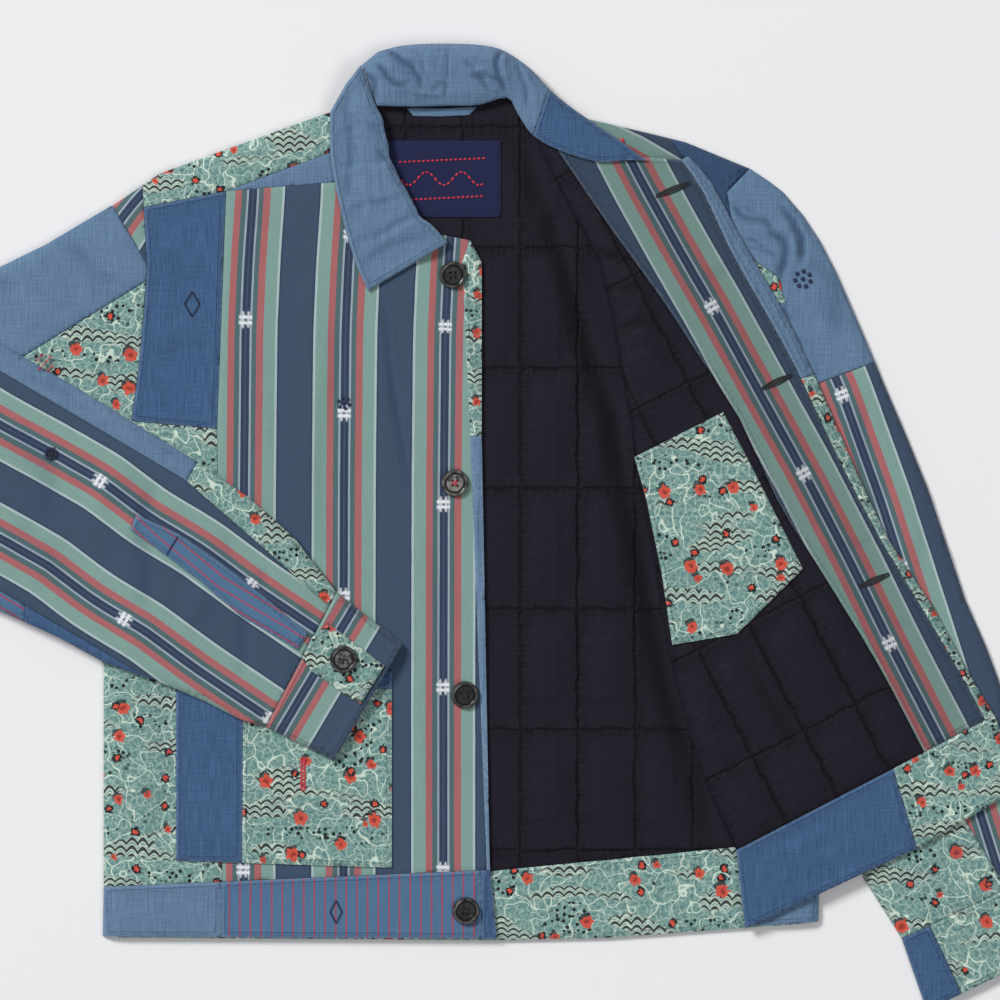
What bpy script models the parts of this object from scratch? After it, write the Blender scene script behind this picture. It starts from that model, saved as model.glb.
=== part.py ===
"""Patchwork shirt jacket with a quilted lining, laid flat on its back.

One front lies closed with its sleeve folded over it, the other is opened out
over its own sleeve and shows the quilted inside. Metres, +Z up, collar to +Y.
The jacket is drawn on a flat plan: X to the right, Y down, one unit 0.8 mm.
"""
import math

import bmesh
import bpy
from mathutils import Vector

for old in list(bpy.data.objects):
    bpy.data.objects.remove(old, do_unlink=True)

# Driving sizes of the real jacket, metres
HEM_WIDTH = 0.575
SEAM_GAP = 0.0003
CLOTH = 0.0016
PADDED = 0.0028
QUILT_WALL = 0.0020
QUILT_PUFF = 0.0032
QUILT_COLUMN = 0.046
QUILT_ROW = 0.0965
BUTTON_DIAMETER = 0.022
BUTTON_THICKNESS = 0.0034

# The plan: the hem is 719 units wide, the origin is on the centre line
HEM_ON_PLAN = 719.0
UNIT = HEM_WIDTH / HEM_ON_PLAN
CENTRE_X = 463.0
CENTRE_Y = 500.0
GRID_STEP = 52.0

# Heights of the layers above the floor, metres
LINING_LOW = CLOTH + SEAM_GAP
LINING_TOP = LINING_LOW + QUILT_WALL
FRONT_LOW = LINING_TOP + SEAM_GAP
FRONT_TOP = FRONT_LOW + PADDED
POCKET_LOW = FRONT_TOP + SEAM_GAP
POCKET_TOP = POCKET_LOW + 0.0017
OVER_FRONT = FRONT_TOP + SEAM_GAP
OVER_POCKET = POCKET_TOP + SEAM_GAP
OPEN_LINING_LOW = OVER_FRONT + CLOTH + SEAM_GAP
OPEN_LINING_TOP = OPEN_LINING_LOW + QUILT_WALL

# Colours of the cloths, linear RGB
LIGHT_BLUE = (0.122, 0.223, 0.376)
MID_BLUE = (0.050, 0.119, 0.270)
STRIPED = (0.073, 0.130, 0.160)
PRINTED = (0.216, 0.380, 0.360)
RED_STRIPED = (0.110, 0.190, 0.330)
BLACK_LINING = (0.017, 0.016, 0.025)
LABEL_NAVY = (0.014, 0.020, 0.070)
BUTTON_BLACK = (0.012, 0.011, 0.012)

jacket = bpy.data.collections.new("shirt_jacket")
bpy.context.scene.collection.children.link(jacket)


def material(name, colour, roughness):
    """A plain Principled cloth or button material."""
    mat = bpy.data.materials.new(name)
    mat.use_nodes = True
    shader = mat.node_tree.nodes["Principled BSDF"]
    shader.inputs["Base Color"].default_value = (*colour, 1.0)
    shader.inputs["Roughness"].default_value = roughness
    shader.inputs["Metallic"].default_value = 0.0
    return mat


def smooth(value):
    """Eases 0 to 1 with flat ends."""
    value = min(max(value, 0.0), 1.0)
    return value * value * (3.0 - 2.0 * value)


def away_from(point, line):
    """Distance in plan units from a point to a line of several stretches."""
    best = 1.0e9
    for start, end in zip(line, line[1:]):
        a = Vector(start)
        run = Vector(end) - a
        share = max(0.0, min(1.0, (point - a).dot(run) / run.length_squared))
        best = min(best, (point - a - run * share).length)
    return best


def x_on(line, y):
    """Where a line that runs down the plan crosses the height y."""
    for (xa, ya), (xb, yb) in zip(line, line[1:]):
        if y <= yb:
            return xa + (xb - xa) * (y - ya) / (yb - ya)
    return line[-1][0]


def sheet(table, columns, step=GRID_STEP):
    """A flat grid between the two edges of a table of sections.

    table has a row for each section: left x, left y, right x, right y.
    columns are the shares of the width at which the grid has its lines.
    """
    sections = []
    for here, after in zip(table, table[1:]):
        run = max(math.dist(here[:2], after[:2]), math.dist(here[2:], after[2:]))
        count = max(1, round(run / step))
        for part in range(count):
            share = part / count
            sections.append([a + (b - a) * share for a, b in zip(here, after)])
    sections.append(list(table[-1]))
    bm = bmesh.new()
    bmesh.ops.create_grid(bm, x_segments=len(columns) - 1, y_segments=len(sections) - 1, size=0.5)
    for vert in bm.verts:
        column = columns[round((vert.co.x + 0.5) * (len(columns) - 1))]
        left_x, left_y, right_x, right_y = sections[round((0.5 - vert.co.y) * (len(sections) - 1))]
        vert.co = (left_x + (right_x - left_x) * column, left_y + (right_y - left_y) * column, 0.0)
    bmesh.ops.remove_doubles(bm, verts=bm.verts, dist=0.05)
    return bm


def curved(rows, parts=3, straight=0):
    """Rows on a smooth curve through the rows of a table, parts for each gap.

    The first columns, as many as straight says, run straight from row to row.
    """
    table = [Vector(row) for row in rows]
    runs = [(after - here).length for here, after in zip(table, table[1:])]
    slopes = [(after - here) / run for here, after, run in zip(table, table[1:], runs)]
    tangents = [slopes[0]]
    for i in range(1, len(runs)):
        tangents.append((slopes[i] * runs[i - 1] + slopes[i - 1] * runs[i]) / (runs[i - 1] + runs[i]))
    tangents.append(slopes[-1])
    made = []
    for i, run in enumerate(runs):
        for part in range(parts):
            t = part / parts
            here = table[i] * (1 + 2 * t) * (1 - t) ** 2 + table[i + 1] * t * t * (3 - 2 * t)
            bend = tangents[i] * t * (1 - t) ** 2 + tangents[i + 1] * t * t * (t - 1)
            along = table[i].lerp(table[i + 1], t)
            made.append(tuple(along)[:straight] + tuple(here + bend * run)[straight:])
    made.append(tuple(table[-1]))
    return tuple(made)


def even(count):
    """Shares of the width for a grid with equal columns."""
    return [i / count for i in range(count + 1)]


def cut(bm, start, end, keep, level=None):
    """Cuts a flat sheet along a straight seam and keeps the side that holds a point.

    With a level, only the part of the sheet that lies above it on the plan is cut.
    """
    parts = bm.verts[:] + bm.edges[:] + bm.faces[:]
    if level is not None:
        bmesh.ops.bisect_plane(bm, geom=parts, dist=0.01, plane_co=(0.0, level, 0.0), plane_no=(0.0, 1.0, 0.0))
        faces = [face for face in bm.faces if face.calc_center_median().y < level]
        parts = list({item for face in faces for item in (*face.verts, *face.edges)}) + faces
    start, end, keep = Vector(start), Vector(end), Vector(keep)
    run = (end - start).normalized()
    normal = Vector((-run.y, run.x))
    if normal.dot(keep - start) > 0.0:
        normal = -normal
    bmesh.ops.bisect_plane(
        bm,
        geom=parts,
        dist=0.01,
        plane_co=(start.x, start.y, 0.0),
        plane_no=(normal.x, normal.y, 0.0),
        clear_outer=True,
    )
    return bm


def draw_in(bm, gap):
    """Moves the outline of a flat sheet inwards, mitred at its corners."""
    moves = {}
    for vert in bm.verts:
        inwards = []
        for edge in vert.link_edges:
            if not edge.is_boundary:
                continue
            run = (edge.verts[1].co - edge.verts[0].co).normalized()
            side = Vector((-run.y, run.x, 0.0))
            middle = edge.link_faces[0].calc_center_median()
            if side.dot(middle - edge.verts[0].co) < 0.0:
                side = -side
            inwards.append(side)
        if len(inwards) == 2:
            both = inwards[0] + inwards[1]
            moves[vert] = both * (gap / max(1.0 + inwards[0].dot(inwards[1]), 0.35))
    for vert, move in moves.items():
        vert.co += move


def piece(name, bm, low, high, mat, inset=SEAM_GAP / 2):
    """Closes a flat sheet into a cloth wall and makes it an object.

    low and high are heights, or functions of a plan point that give them.
    """
    draw_in(bm, inset / UNIT)
    bmesh.ops.dissolve_degenerate(bm, edges=bm.edges, dist=0.02)
    lower = bm.verts[:]
    made = bmesh.ops.extrude_face_region(bm, geom=bm.faces[:])
    upper = [item for item in made["geom"] if isinstance(item, bmesh.types.BMVert)]
    for verts, level in ((lower, low), (upper, high)):
        for vert in verts:
            plan = vert.co.to_2d()
            vert.co.z = level(plan) if callable(level) else level
    for vert in bm.verts:
        vert.co.x = (vert.co.x - CENTRE_X) * UNIT
        vert.co.y = (CENTRE_Y - vert.co.y) * UNIT
    bmesh.ops.recalc_face_normals(bm, faces=bm.faces)
    mesh = bpy.data.meshes.new(name)
    bm.to_mesh(mesh)
    bm.free()
    mesh.materials.append(mat)
    made = bpy.data.objects.new(name, mesh)
    jacket.objects.link(made)
    return made


def rolled(level, edge_level, edges, reach):
    """A height that curves down from level to edge_level towards the given edges."""
    def height(plan):
        near = min(away_from(plan, edge) for edge in edges)
        share = max(0.0, 1.0 - near / reach)
        return edge_level + (level - edge_level) * math.sqrt(1.0 - share * share)
    return height


light_blue = material("light_blue_chambray", LIGHT_BLUE, 0.9)
mid_blue = material("mid_blue_chambray", MID_BLUE, 0.9)
striped = material("striped_handloom", STRIPED, 0.9)
printed = material("printed_cotton", PRINTED, 0.88)
red_striped = material("red_striped_chambray", RED_STRIPED, 0.9)
lining = material("black_quilted_lining", BLACK_LINING, 0.7)
label_cloth = material("label_cloth", LABEL_NAVY, 0.9)
button_black = material("black_button", BUTTON_BLACK, 0.35)

# Lines of the flat jacket that several pieces share, on the plan
FOLD = ((530, 128), (568, 205), (600, 265), (622, 370), (640, 480), (655, 565),
        (668, 650), (690, 735), (712, 798), (736, 850), (745, 929))
ARMHOLE = ((112, 205), (120, 215), (135, 243), (147, 265), (143, 321), (137, 380),
           (131, 421), (105, 487))
LEFT_ARMHOLE = ((750, 168), (727, 192), (735, 240), (742, 300), (752, 385), (800, 490))
RIGHT_SIDE = ((105, 487), (103, 664), (103, 887), (102, 937))
LEFT_SIDE = ((800, 490), (815, 650), (822, 862), (820, 925))
RIGHT_SHOULDER = ((328, 112), (250, 140), (159, 173), (143, 184), (112, 205))
HEM_SEAM = ((102, 887), (488, 870))
BACK_HEM_SEAM = ((102, 887), (495, 871), (607, 860), (729, 848), (823, 837))

# Back: the outside lies on the floor, its quilted lining faces up
BODY_ROWS = (
    (368, 98, 522, 98),
    (330, 112, 584, 117),
    (250, 140, 655, 134),
    (159, 173, 723, 155),
    (143, 184, 750, 168),
    (112, 205, 727, 192),
    (135, 243, 735, 240),
    (147, 265, 738, 265),
    (143, 321, 744, 321),
    (137, 380, 751, 380),
    (131, 421, 768, 421),
    (105, 487, 800, 490),
    (103, 664, 815, 650),
    (102, 937, 820, 925),
)
HEM_BOTTOM = ((102, 938), (497, 941), (584, 940), (660, 935), (744, 929), (820, 923))
BACK_INSET = 3.0 * UNIT
LINING_ROWS = (
    (380, 96, 514, 96),
    (346, 109, 526, 111),
    (262, 152, 590, 158),
    (170, 186, 690, 168),
    (150, 205, 712, 200),
    (163, 265, 722, 265),
    (158, 321, 728, 321),
    (148, 421, 752, 421),
    (121, 492, 784, 494),
    (118, 664, 799, 650),
    (118, 937, 805, 925),
)


def y_on(line, x):
    """Where a line that runs across the plan passes the place x."""
    return x_on([(b, a) for a, b in line], x)


def above_back_hem(bm):
    """Cuts the back off at the seam of its hem band."""
    for start, end in zip(BACK_HEM_SEAM, BACK_HEM_SEAM[1:]):
        cut(bm, start, end, (460, 300))
    return bm


piece("back_shell", sheet(BODY_ROWS, even(6)), 0.0, CLOTH, light_blue, BACK_INSET)
hem_rows = []
for x in (118, 300, 495, 607, 729, 806):
    hem_rows.append((x, y_on(BACK_HEM_SEAM, x), x, y_on(HEM_BOTTOM, x)))
piece("back_hem_facing", sheet(hem_rows, even(2)), LINING_LOW, LINING_TOP, printed)

# Quilted back lining: puffs between stitch lines, plain where a front or the label covers it
QUILT_ORIGIN = (463.5, 127.0)
FRONT_EDGE = ((440, 107), (470, 240), (482, 262), (482, 435), (490, 865), (497, 939))
LABEL = (376, 140, 501, 217)


def puff(across, along):
    """Height of the quilting, 0 on a stitch line and 1 in the middle of a cell."""
    column = abs(math.sin(math.pi * across / QUILT_COLUMN))
    row = abs(math.sin(math.pi * along / QUILT_ROW))
    return (column * row) ** 0.6


def back_quilt(plan):
    """Top of the back lining."""
    x, y = plan
    shown = smooth((x - x_on(FRONT_EDGE, y) - 12) / 16) * smooth((x_on(FOLD, y) - 20 - x) / 16)
    shown *= smooth((y - 112) / 30) * smooth((866 - y) / 10)
    beside_label = max(x - LABEL[2], y - LABEL[3])
    shown *= smooth((beside_label - 3) / 12)
    raised = puff((x - QUILT_ORIGIN[0]) * UNIT, (y - QUILT_ORIGIN[1]) * UNIT)
    return LINING_TOP + QUILT_PUFF * shown * raised


def quilt_cells(bm, lines):
    """Adds the stitch lines of the quilting, and lines between them, to a flat sheet."""
    for start, run in lines:
        bmesh.ops.bisect_plane(
            bm,
            geom=bm.verts[:] + bm.edges[:] + bm.faces[:],
            dist=0.01,
            plane_co=(start[0], start[1], 0.0),
            plane_no=(-run[1], run[0], 0.0),
        )
    return bm


column_units = QUILT_COLUMN / UNIT
row_units = QUILT_ROW / UNIT
stitch_lines = []
for i in range(16):
    stitch_lines.append(((QUILT_ORIGIN[0] + i * column_units / 3, 0), (0, 1)))
for i in range(-1, 27):
    stitch_lines.append(((0, QUILT_ORIGIN[1] + i * row_units / 4), (1, 0)))
back_lining = quilt_cells(above_back_hem(sheet(LINING_ROWS, (0, 1), step=2000)), stitch_lines)
piece("back_lining", back_lining, LINING_LOW, back_quilt, lining)

# Closed front: patches cut from one outline along their seams, rolled down at the sides
FRONT_ROWS = (
    (328, 112, 336, 112),
    (250, 140, 348, 140),
    (159, 173, 358, 173),
    (143, 184, 361, 184),
    (112, 205, 367, 205),
    (121.7, 221, 373, 221),
    (135, 243, 470, 240),
    (147, 265, 482, 262),
    (143, 321, 482, 321),
    (137, 380, 482, 380),
    (131, 421, 482, 435),
    (105, 487, 483, 500),
    (103, 664, 486, 664),
    (103, 887, 490, 865),
    (102, 937, 497, 939),
)
FRONT_COLUMNS = (0, 0.012, 0.04, 0.2, 0.4, 0.6, 0.8, 0.94, 1)
front_low = rolled(FRONT_LOW, SEAM_GAP, (RIGHT_SIDE, RIGHT_SHOULDER), 10)
front_high = rolled(FRONT_TOP, CLOTH + SEAM_GAP, (RIGHT_SIDE, RIGHT_SHOULDER), 14)

YOKE_SEAM = ((149, 206), (226, 191))
WEDGE_TOP = ((226, 191), (328, 153))
WEDGE_BOTTOM = ((226, 191), (332, 182))
ARMHOLE_STRIP = ((142, 184), (147, 265))
CHEST_SEAM = ((226, 191), (217, 429))
CHEST_BOTTOM = ((131, 421), (217, 429))
SIDE_SEAM = ((217, 429), (222, 870))
BAND_SEAM = ((470, 240), (475, 435))
BAND_SEAM_LOW = ((475, 435), (488, 870))
BAND_JOIN = ((470, 436), (490, 436))
HEM_JOINS = ((221, 880), (221, 945)), ((481, 860), (481, 945))

# name, cloth, then (seam, a point on the side that is kept) for each of its seams
FRONT_PATCHES = (
    ("front_yoke", printed, ((YOKE_SEAM, (226, 150)), (WEDGE_TOP, (250, 140)), (ARMHOLE_STRIP, (300, 150)))),
    ("front_wedge", light_blue, ((WEDGE_TOP, (330, 180)), (WEDGE_BOTTOM, (300, 170)))),
    ("front_armhole_strip", striped, ((ARMHOLE_STRIP, (112, 210)), (((60, 265), (200, 265)), (130, 230)))),
    ("front_chest_patch", mid_blue, ((YOKE_SEAM, (180, 300)), (CHEST_SEAM, (150, 300)),
                                     (CHEST_BOTTOM, (180, 300)),
                                     (ARMHOLE_STRIP, (180, 220), ARMHOLE_STRIP[1][1]))),
    ("front_side_print", printed, ((CHEST_BOTTOM, (150, 600)), (SIDE_SEAM, (150, 600)),
                                   (HEM_SEAM, (150, 600)))),
    ("front_main_stripe", striped, ((WEDGE_BOTTOM, (300, 500)), (CHEST_SEAM, (400, 300)),
                                    (SIDE_SEAM, (400, 600)), (BAND_SEAM, (400, 300)),
                                    (BAND_SEAM_LOW, (400, 600)), (HEM_SEAM, (300, 500)))),
    ("front_band_print", printed, ((BAND_SEAM, (482, 300)), (BAND_JOIN, (478, 300)))),
    ("front_band_blue", light_blue, ((BAND_SEAM_LOW, (488, 600)), (BAND_JOIN, (478, 600)),
                                     (HEM_SEAM, (488, 600)))),
    ("front_hem_side", light_blue, ((HEM_SEAM, (150, 920)), (HEM_JOINS[0], (150, 920)))),
    ("front_hem_striped", red_striped, ((HEM_SEAM, (300, 920)), (HEM_JOINS[0], (300, 920)),
                                        (HEM_JOINS[1], (300, 920)))),
    ("front_hem_end", mid_blue, ((HEM_SEAM, (490, 920)), (HEM_JOINS[1], (490, 920)))),
)


def patches(table, rows, columns, low, high, step=GRID_STEP):
    """Cuts each patch of a table from the same sheet and closes it."""
    for name, cloth, seams in table:
        bm = sheet(rows, columns, step)
        for (start, end), *side in seams:
            cut(bm, start, end, *side)
        piece(name, bm, low, high, cloth)


patches(FRONT_PATCHES, FRONT_ROWS, FRONT_COLUMNS, front_low, front_high)

# Patch pocket: its pieces lie flat on the closed front
POCKET_PIECES = (
    ("pocket_top", mid_blue, ((176, 671, 176, 689), (392, 671, 392, 689))),
    ("pocket_side", mid_blue, ((176, 689, 176, 861), (243, 689, 242, 863))),
    ("pocket_print", printed, ((243, 689, 242, 863), (392, 689, 392, 868))),
)
for pocket_name, cloth, rows in POCKET_PIECES:
    piece(pocket_name, sheet(rows, even(3)), POCKET_LOW, POCKET_TOP, cloth)

# Sleeves: flat tubes, an under piece on the floor and patches on top rolled down to it
SLEEVE_INSET = 2.8 * UNIT
ELBOW_X = -72
TUBE_COLUMNS = (0, 0.03, 0.1, 0.3, 0.5, 0.7, 0.9, 0.97, 1)
TUBE_ROLL = 12.0


def tube_heights(base, edges):
    """Bottom and top of the upper wall of a flat tube that lies on the height base."""
    def lift(level):
        def height(plan):
            return level(plan) + (base(plan) if callable(base) else base)
        return height
    low = rolled(FRONT_LOW, SEAM_GAP, edges, TUBE_ROLL - 3)
    high = rolled(FRONT_TOP, CLOTH + SEAM_GAP, edges, TUBE_ROLL)
    return lift(low), lift(high)


def on_height(base, rise):
    """A height function that stands a little above another one."""
    return lambda plan: base(plan) + rise


# Right sleeve, upper arm: from the armhole out to the fold at the elbow
UPPER_ARM_ROWS = (
    (110, 205.5, 112, 205),
    (45, 244, 135, 243),
    (0, 266, 147, 265),
    (-40, 287, 145, 290),
    (ELBOW_X, 304, 143, 321),
    (ELBOW_X, 380, 137, 380),
    (ELBOW_X, 421, 131, 421),
    (ELBOW_X, 487, 105, 487),
    (ELBOW_X, 530, 24, 530),
    (ELBOW_X, 581, ELBOW_X + 2, 580),
)
UPPER_ARM_EDGES = ((112, 205), (45, 244), (0, 266), (ELBOW_X, 304), (ELBOW_X, 581)), ((105, 487), (ELBOW_X, 581))
CAP_SEAM = ((24, 356), (146, 281))
arm_low, arm_high = tube_heights(0.0, UPPER_ARM_EDGES)
piece("right_sleeve_under", sheet(UPPER_ARM_ROWS[1:], even(4)), 0.0, CLOTH, light_blue, SLEEVE_INSET)
UPPER_ARM_PATCHES = (
    ("right_sleeve_cap", light_blue, ((CAP_SEAM, (60, 260)),)),
    ("right_sleeve_gusset", printed, ((CAP_SEAM, (60, 420)),)),
)
patches(UPPER_ARM_PATCHES, UPPER_ARM_ROWS, TUBE_COLUMNS, arm_low, arm_high)

# Right sleeve, forearm: folded back over the upper arm, the front and the pocket
FOREARM_ROWS = (
    (ELBOW_X, 304, ELBOW_X, 581),
    (ELBOW_X + 4, 306.2, ELBOW_X + 4, 582.7),
    (ELBOW_X + 12, 310.5, ELBOW_X + 12, 586),
    (0, 343, 0, 611),
    (80, 389, 60, 638),
    (128, 419, 105, 663),
    (198, 462, 155, 680),
    (250, 498, 205, 701.5),
    (294, 537, 242, 720),
    (337, 592, 266, 727),
)
CUFF_ROWS = ((337, 592, 266, 727), (403, 644, 334, 761))
FOREARM_EDGES = (
    ((ELBOW_X, 304), (0, 343), (128, 419), (250, 498), (294, 537), (337, 592), (403, 644)),
    ((ELBOW_X, 581), (0, 611), (105, 663), (205, 701.5), (266, 727), (334, 761)),
    ((ELBOW_X, 304), (ELBOW_X, 581)),
)


def forearm_base(plan):
    """What the forearm lies on: the upper arm, then the front, then the pocket."""
    return OVER_FRONT + (OVER_POCKET - OVER_FRONT) * smooth((plan.x - 75) / 80)


forearm_low, forearm_high = tube_heights(forearm_base, FOREARM_EDGES)
UPPER_STRIP = ((0, 371), (187, 481))
LOWER_STRIP = ((187, 481), (330, 606))
STRIP_JOIN = ((198, 462), (187, 481))
EDGE_SEAM = ((0, 590), (110, 655))
EDGE_JOIN = ((25, 560), (25, 640))
FOREARM_PATCHES = (
    ("forearm_strip_blue", light_blue, ((UPPER_STRIP, (60, 380)), (STRIP_JOIN, (100, 420)))),
    ("forearm_strip_print", printed, ((LOWER_STRIP, (270, 520)), (STRIP_JOIN, (260, 520)))),
    ("forearm_main_stripe", striped, ((UPPER_STRIP, (60, 500)), (LOWER_STRIP, (200, 600)),
                                      (EDGE_SEAM, (60, 500)))),
    ("forearm_edge_stripe", red_striped, ((EDGE_SEAM, (0, 605)), (EDGE_JOIN, (0, 605)))),
    ("forearm_edge_blue", mid_blue, ((EDGE_SEAM, (60, 632)), (EDGE_JOIN, (60, 632)))),
)
patches(FOREARM_PATCHES, FOREARM_ROWS, TUBE_COLUMNS, forearm_low, forearm_high)
piece("right_cuff", sheet(CUFF_ROWS, TUBE_COLUMNS, 30), forearm_low, forearm_high, striped)
piece("forearm_under", sheet(FOREARM_ROWS[1:] + CUFF_ROWS[1:], even(4)), forearm_base,
      on_height(forearm_base, CLOTH), light_blue, SLEEVE_INSET)

# Sewn on the forearm: the placket and the button tab of the cuff
PLACKET_ROWS = (
    (137, 514, 131, 530),
    (179, 533.5, 160, 551),
    (222, 563, 200, 581),
    (262, 594, 240, 615),
    (309, 633, 298, 650),
)
CUFF_TAB_ROWS = (
    (312, 637, 302, 658),
    (329, 623, 312, 671),
    (357, 644, 337, 689),
    (385, 665, 361, 704),
)
on_forearm = on_height(forearm_high, SEAM_GAP)
piece("sleeve_placket", sheet(PLACKET_ROWS, even(2), 30), on_forearm, on_height(on_forearm, CLOTH),
      red_striped)
piece("cuff_tab", sheet(CUFF_TAB_ROWS, even(2), 30), on_forearm, on_height(on_forearm, CLOTH), printed)

# Left sleeve: lies on the floor from the shoulder down, partly under the opened front
LEFT_SLEEVE_ROWS = curved((
    (750, 168, 752, 169),
    (727, 192, 783, 191),
    (735, 240, 820, 240),
    (742, 300, 849, 300),
    (752, 385, 885, 385),
    (800, 490, 929, 490),
    (812, 600, 966, 600),
    (822, 700, 1003, 690),
    (838, 800, 1011, 780),
    (866, 882, 1018, 830),
    (902, 939, 1026, 880),
), 2, straight=2)
LEFT_CUFF_ROWS = ((902, 939, 1026, 880), (927, 1011, 1057, 948))
ARMPIT_ROW = 10
left_upper_edge = [row[2:4] for row in LEFT_SLEEVE_ROWS] + [LEFT_CUFF_ROWS[1][2:4]]
left_lower_edge = [row[0:2] for row in LEFT_SLEEVE_ROWS[ARMPIT_ROW:]] + [LEFT_CUFF_ROWS[1][0:2]]
LEFT_SLEEVE_EDGES = ([LEFT_SLEEVE_ROWS[0][0:2]] + left_upper_edge, left_lower_edge)
LEFT_CAP_SEAM = ((822, 382), (875, 362))
LEFT_GUSSET_SEAM = ((748, 253), (783, 299))
LEFT_GUSSET_END = ((740, 303), (800, 303))
LOWER_PRINT_TOP = ((848, 832), (1000, 765))
LOWER_PRINT_SIDE = ((969, 826), (1000, 877))
CUFF_JOIN = ((930, 926), (964, 997))
left_low, left_high = tube_heights(0.0, LEFT_SLEEVE_EDGES)
LEFT_SLEEVE_PATCHES = (
    ("left_sleeve_cap", light_blue, ((LEFT_CAP_SEAM, (800, 250)),
                                     (LEFT_GUSSET_SEAM, (820, 250), LEFT_GUSSET_END[0][1]))),
    ("left_sleeve_gusset", printed, ((LEFT_GUSSET_END, (760, 280)), (LEFT_GUSSET_SEAM, (750, 300)))),
    ("left_sleeve_stripe", striped, ((LEFT_CAP_SEAM, (900, 500)), (LOWER_PRINT_TOP, (900, 500)))),
    ("left_sleeve_print", printed, ((LOWER_PRINT_TOP, (900, 900)), (LOWER_PRINT_SIDE, (900, 900)))),
    ("left_sleeve_side", striped, ((LOWER_PRINT_TOP, (1010, 850)), (LOWER_PRINT_SIDE, (1015, 850)))),
)
patches(LEFT_SLEEVE_PATCHES, LEFT_SLEEVE_ROWS, TUBE_COLUMNS, left_low, left_high, 60)
LEFT_CUFF_PATCHES = (
    ("left_cuff_blue", mid_blue, ((CUFF_JOIN, (920, 960)),)),
    ("left_cuff_print", printed, ((CUFF_JOIN, (1000, 930)),)),
)
patches(LEFT_CUFF_PATCHES, LEFT_CUFF_ROWS, TUBE_COLUMNS, left_low, left_high, 30)
piece("left_sleeve_under", sheet(LEFT_SLEEVE_ROWS[1:] + LEFT_CUFF_ROWS[1:], even(4)), 0.0, CLOTH,
      light_blue, SLEEVE_INSET)

# Left front, lower layer: still lies on the back from the side to the fold, outside up
FRONT_SIDE_ROWS = (
    (584, 118, 586, 118),
    (550, 134, 655, 134),
    (558, 150, 687, 142),
    (568, 168, 750, 168),
    (578, 192, 727, 192),
    (602, 240, 735, 240),
    (620, 300, 742, 300),
    (636, 385, 752, 385),
    (650, 490, 800, 490),
    (675, 630, 815, 650),
    (708, 750, 818, 750),
    (752, 858, 821, 852),
)
LEFT_SHOULDER = ((586, 117), (655, 134), (687, 142), (750, 168))
SHOULDER_STRIP = ((672, 141), (706, 190))
SHOULDER_BOTTOM = ((600, 262), (735, 240))
side_low = rolled(FRONT_LOW, SEAM_GAP, (LEFT_SIDE, LEFT_SHOULDER), 10)
side_high = rolled(FRONT_TOP, CLOTH + SEAM_GAP, (LEFT_SIDE, LEFT_SHOULDER), 14)
FRONT_SIDE_COLUMNS = (0, 0.3, 0.6, 0.8, 0.9, 0.96, 1)
FRONT_SIDE_PATCHES = (
    ("left_shoulder_stripe", striped, ((SHOULDER_STRIP, (600, 180)), (SHOULDER_BOTTOM, (620, 180)))),
    ("left_shoulder_blue", mid_blue, ((SHOULDER_STRIP, (720, 180)), (SHOULDER_BOTTOM, (720, 200)))),
    ("left_front_side", mid_blue, ((SHOULDER_BOTTOM, (700, 600)),)),
)
patches(FRONT_SIDE_PATCHES, FRONT_SIDE_ROWS, FRONT_SIDE_COLUMNS, side_low, side_high, 60)
LEFT_HEM_ROWS = ((752, 858, 758, 926), (800, 855, 799, 924), (812, 853, 811, 923), (821, 852, 819, 922))
piece("left_hem_band", sheet(LEFT_HEM_ROWS, even(2)), side_low, side_high, light_blue)

# Left front, upper layer: folded back with its inside up
# fold, facing edge, band edge, front edge at each section from the neck to the hem seam
OPEN_SECTIONS = curved((
    (534, 133, 557, 150, 681, 160, 688, 156),
    (568, 205, 614, 233, 704, 194, 712, 183),
    (600, 265, 659, 295, 729, 248, 739, 234),
    (622, 370, 691, 344, 761, 305, 777, 299),
    (640, 480, 739, 418, 796, 369, 806, 356),
    (655, 565, 777, 500, 836, 454, 842, 437),
    (668, 650, 814, 560, 881, 541, 889, 540),
    (690, 735, 860, 634, 924, 612, 933, 606),
    (712, 798, 892, 690, 959, 672, 968, 671),
    (736, 850, 924, 752, 985, 720, 995, 716),
), 2)
OPEN_HEM = (745, 929, 917, 848, 1012, 792, 1021, 786)
HEM_COLOUR_JOIN = (893, 768.4)
FOLD_EDGE = [row[0:2] for row in OPEN_SECTIONS] + [OPEN_HEM[0:2]]
OUTER_EDGE = [row[6:8] for row in OPEN_SECTIONS] + [OPEN_HEM[6:8]]
FOLD_ROLL = 16.0
BAND_ROLL = 7.0


def between(first, second):
    """Rows of a panel between two of the columns of the open front's sections."""
    return [row[first:first + 2] + row[second:second + 2] for row in OPEN_SECTIONS]


fold_low = rolled(OPEN_LINING_LOW, FRONT_LOW, (FOLD_EDGE,), FOLD_ROLL - 3)
fold_high = rolled(OPEN_LINING_TOP, FRONT_LOW + CLOTH, (FOLD_EDGE,), FOLD_ROLL)
INNER_POCKET = ((634, 457), (723, 412), (803, 569), (737, 634), (672, 645), (661, 571), (646, 499))
pocket_outline = INNER_POCKET + INNER_POCKET[:1]


def inside(point, outline):
    """Whether a plan point lies inside a closed outline."""
    crossings = 0
    for (xa, ya), (xb, yb) in zip(outline, outline[1:]):
        if (ya > point.y) != (yb > point.y) and point.x < xa + (xb - xa) * (point.y - ya) / (yb - ya):
            crossings += 1
    return crossings % 2 == 1


FRONT_RUN = Vector((0.46, 0.888))
QUILT_CORNER = Vector((698, 650))


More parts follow.
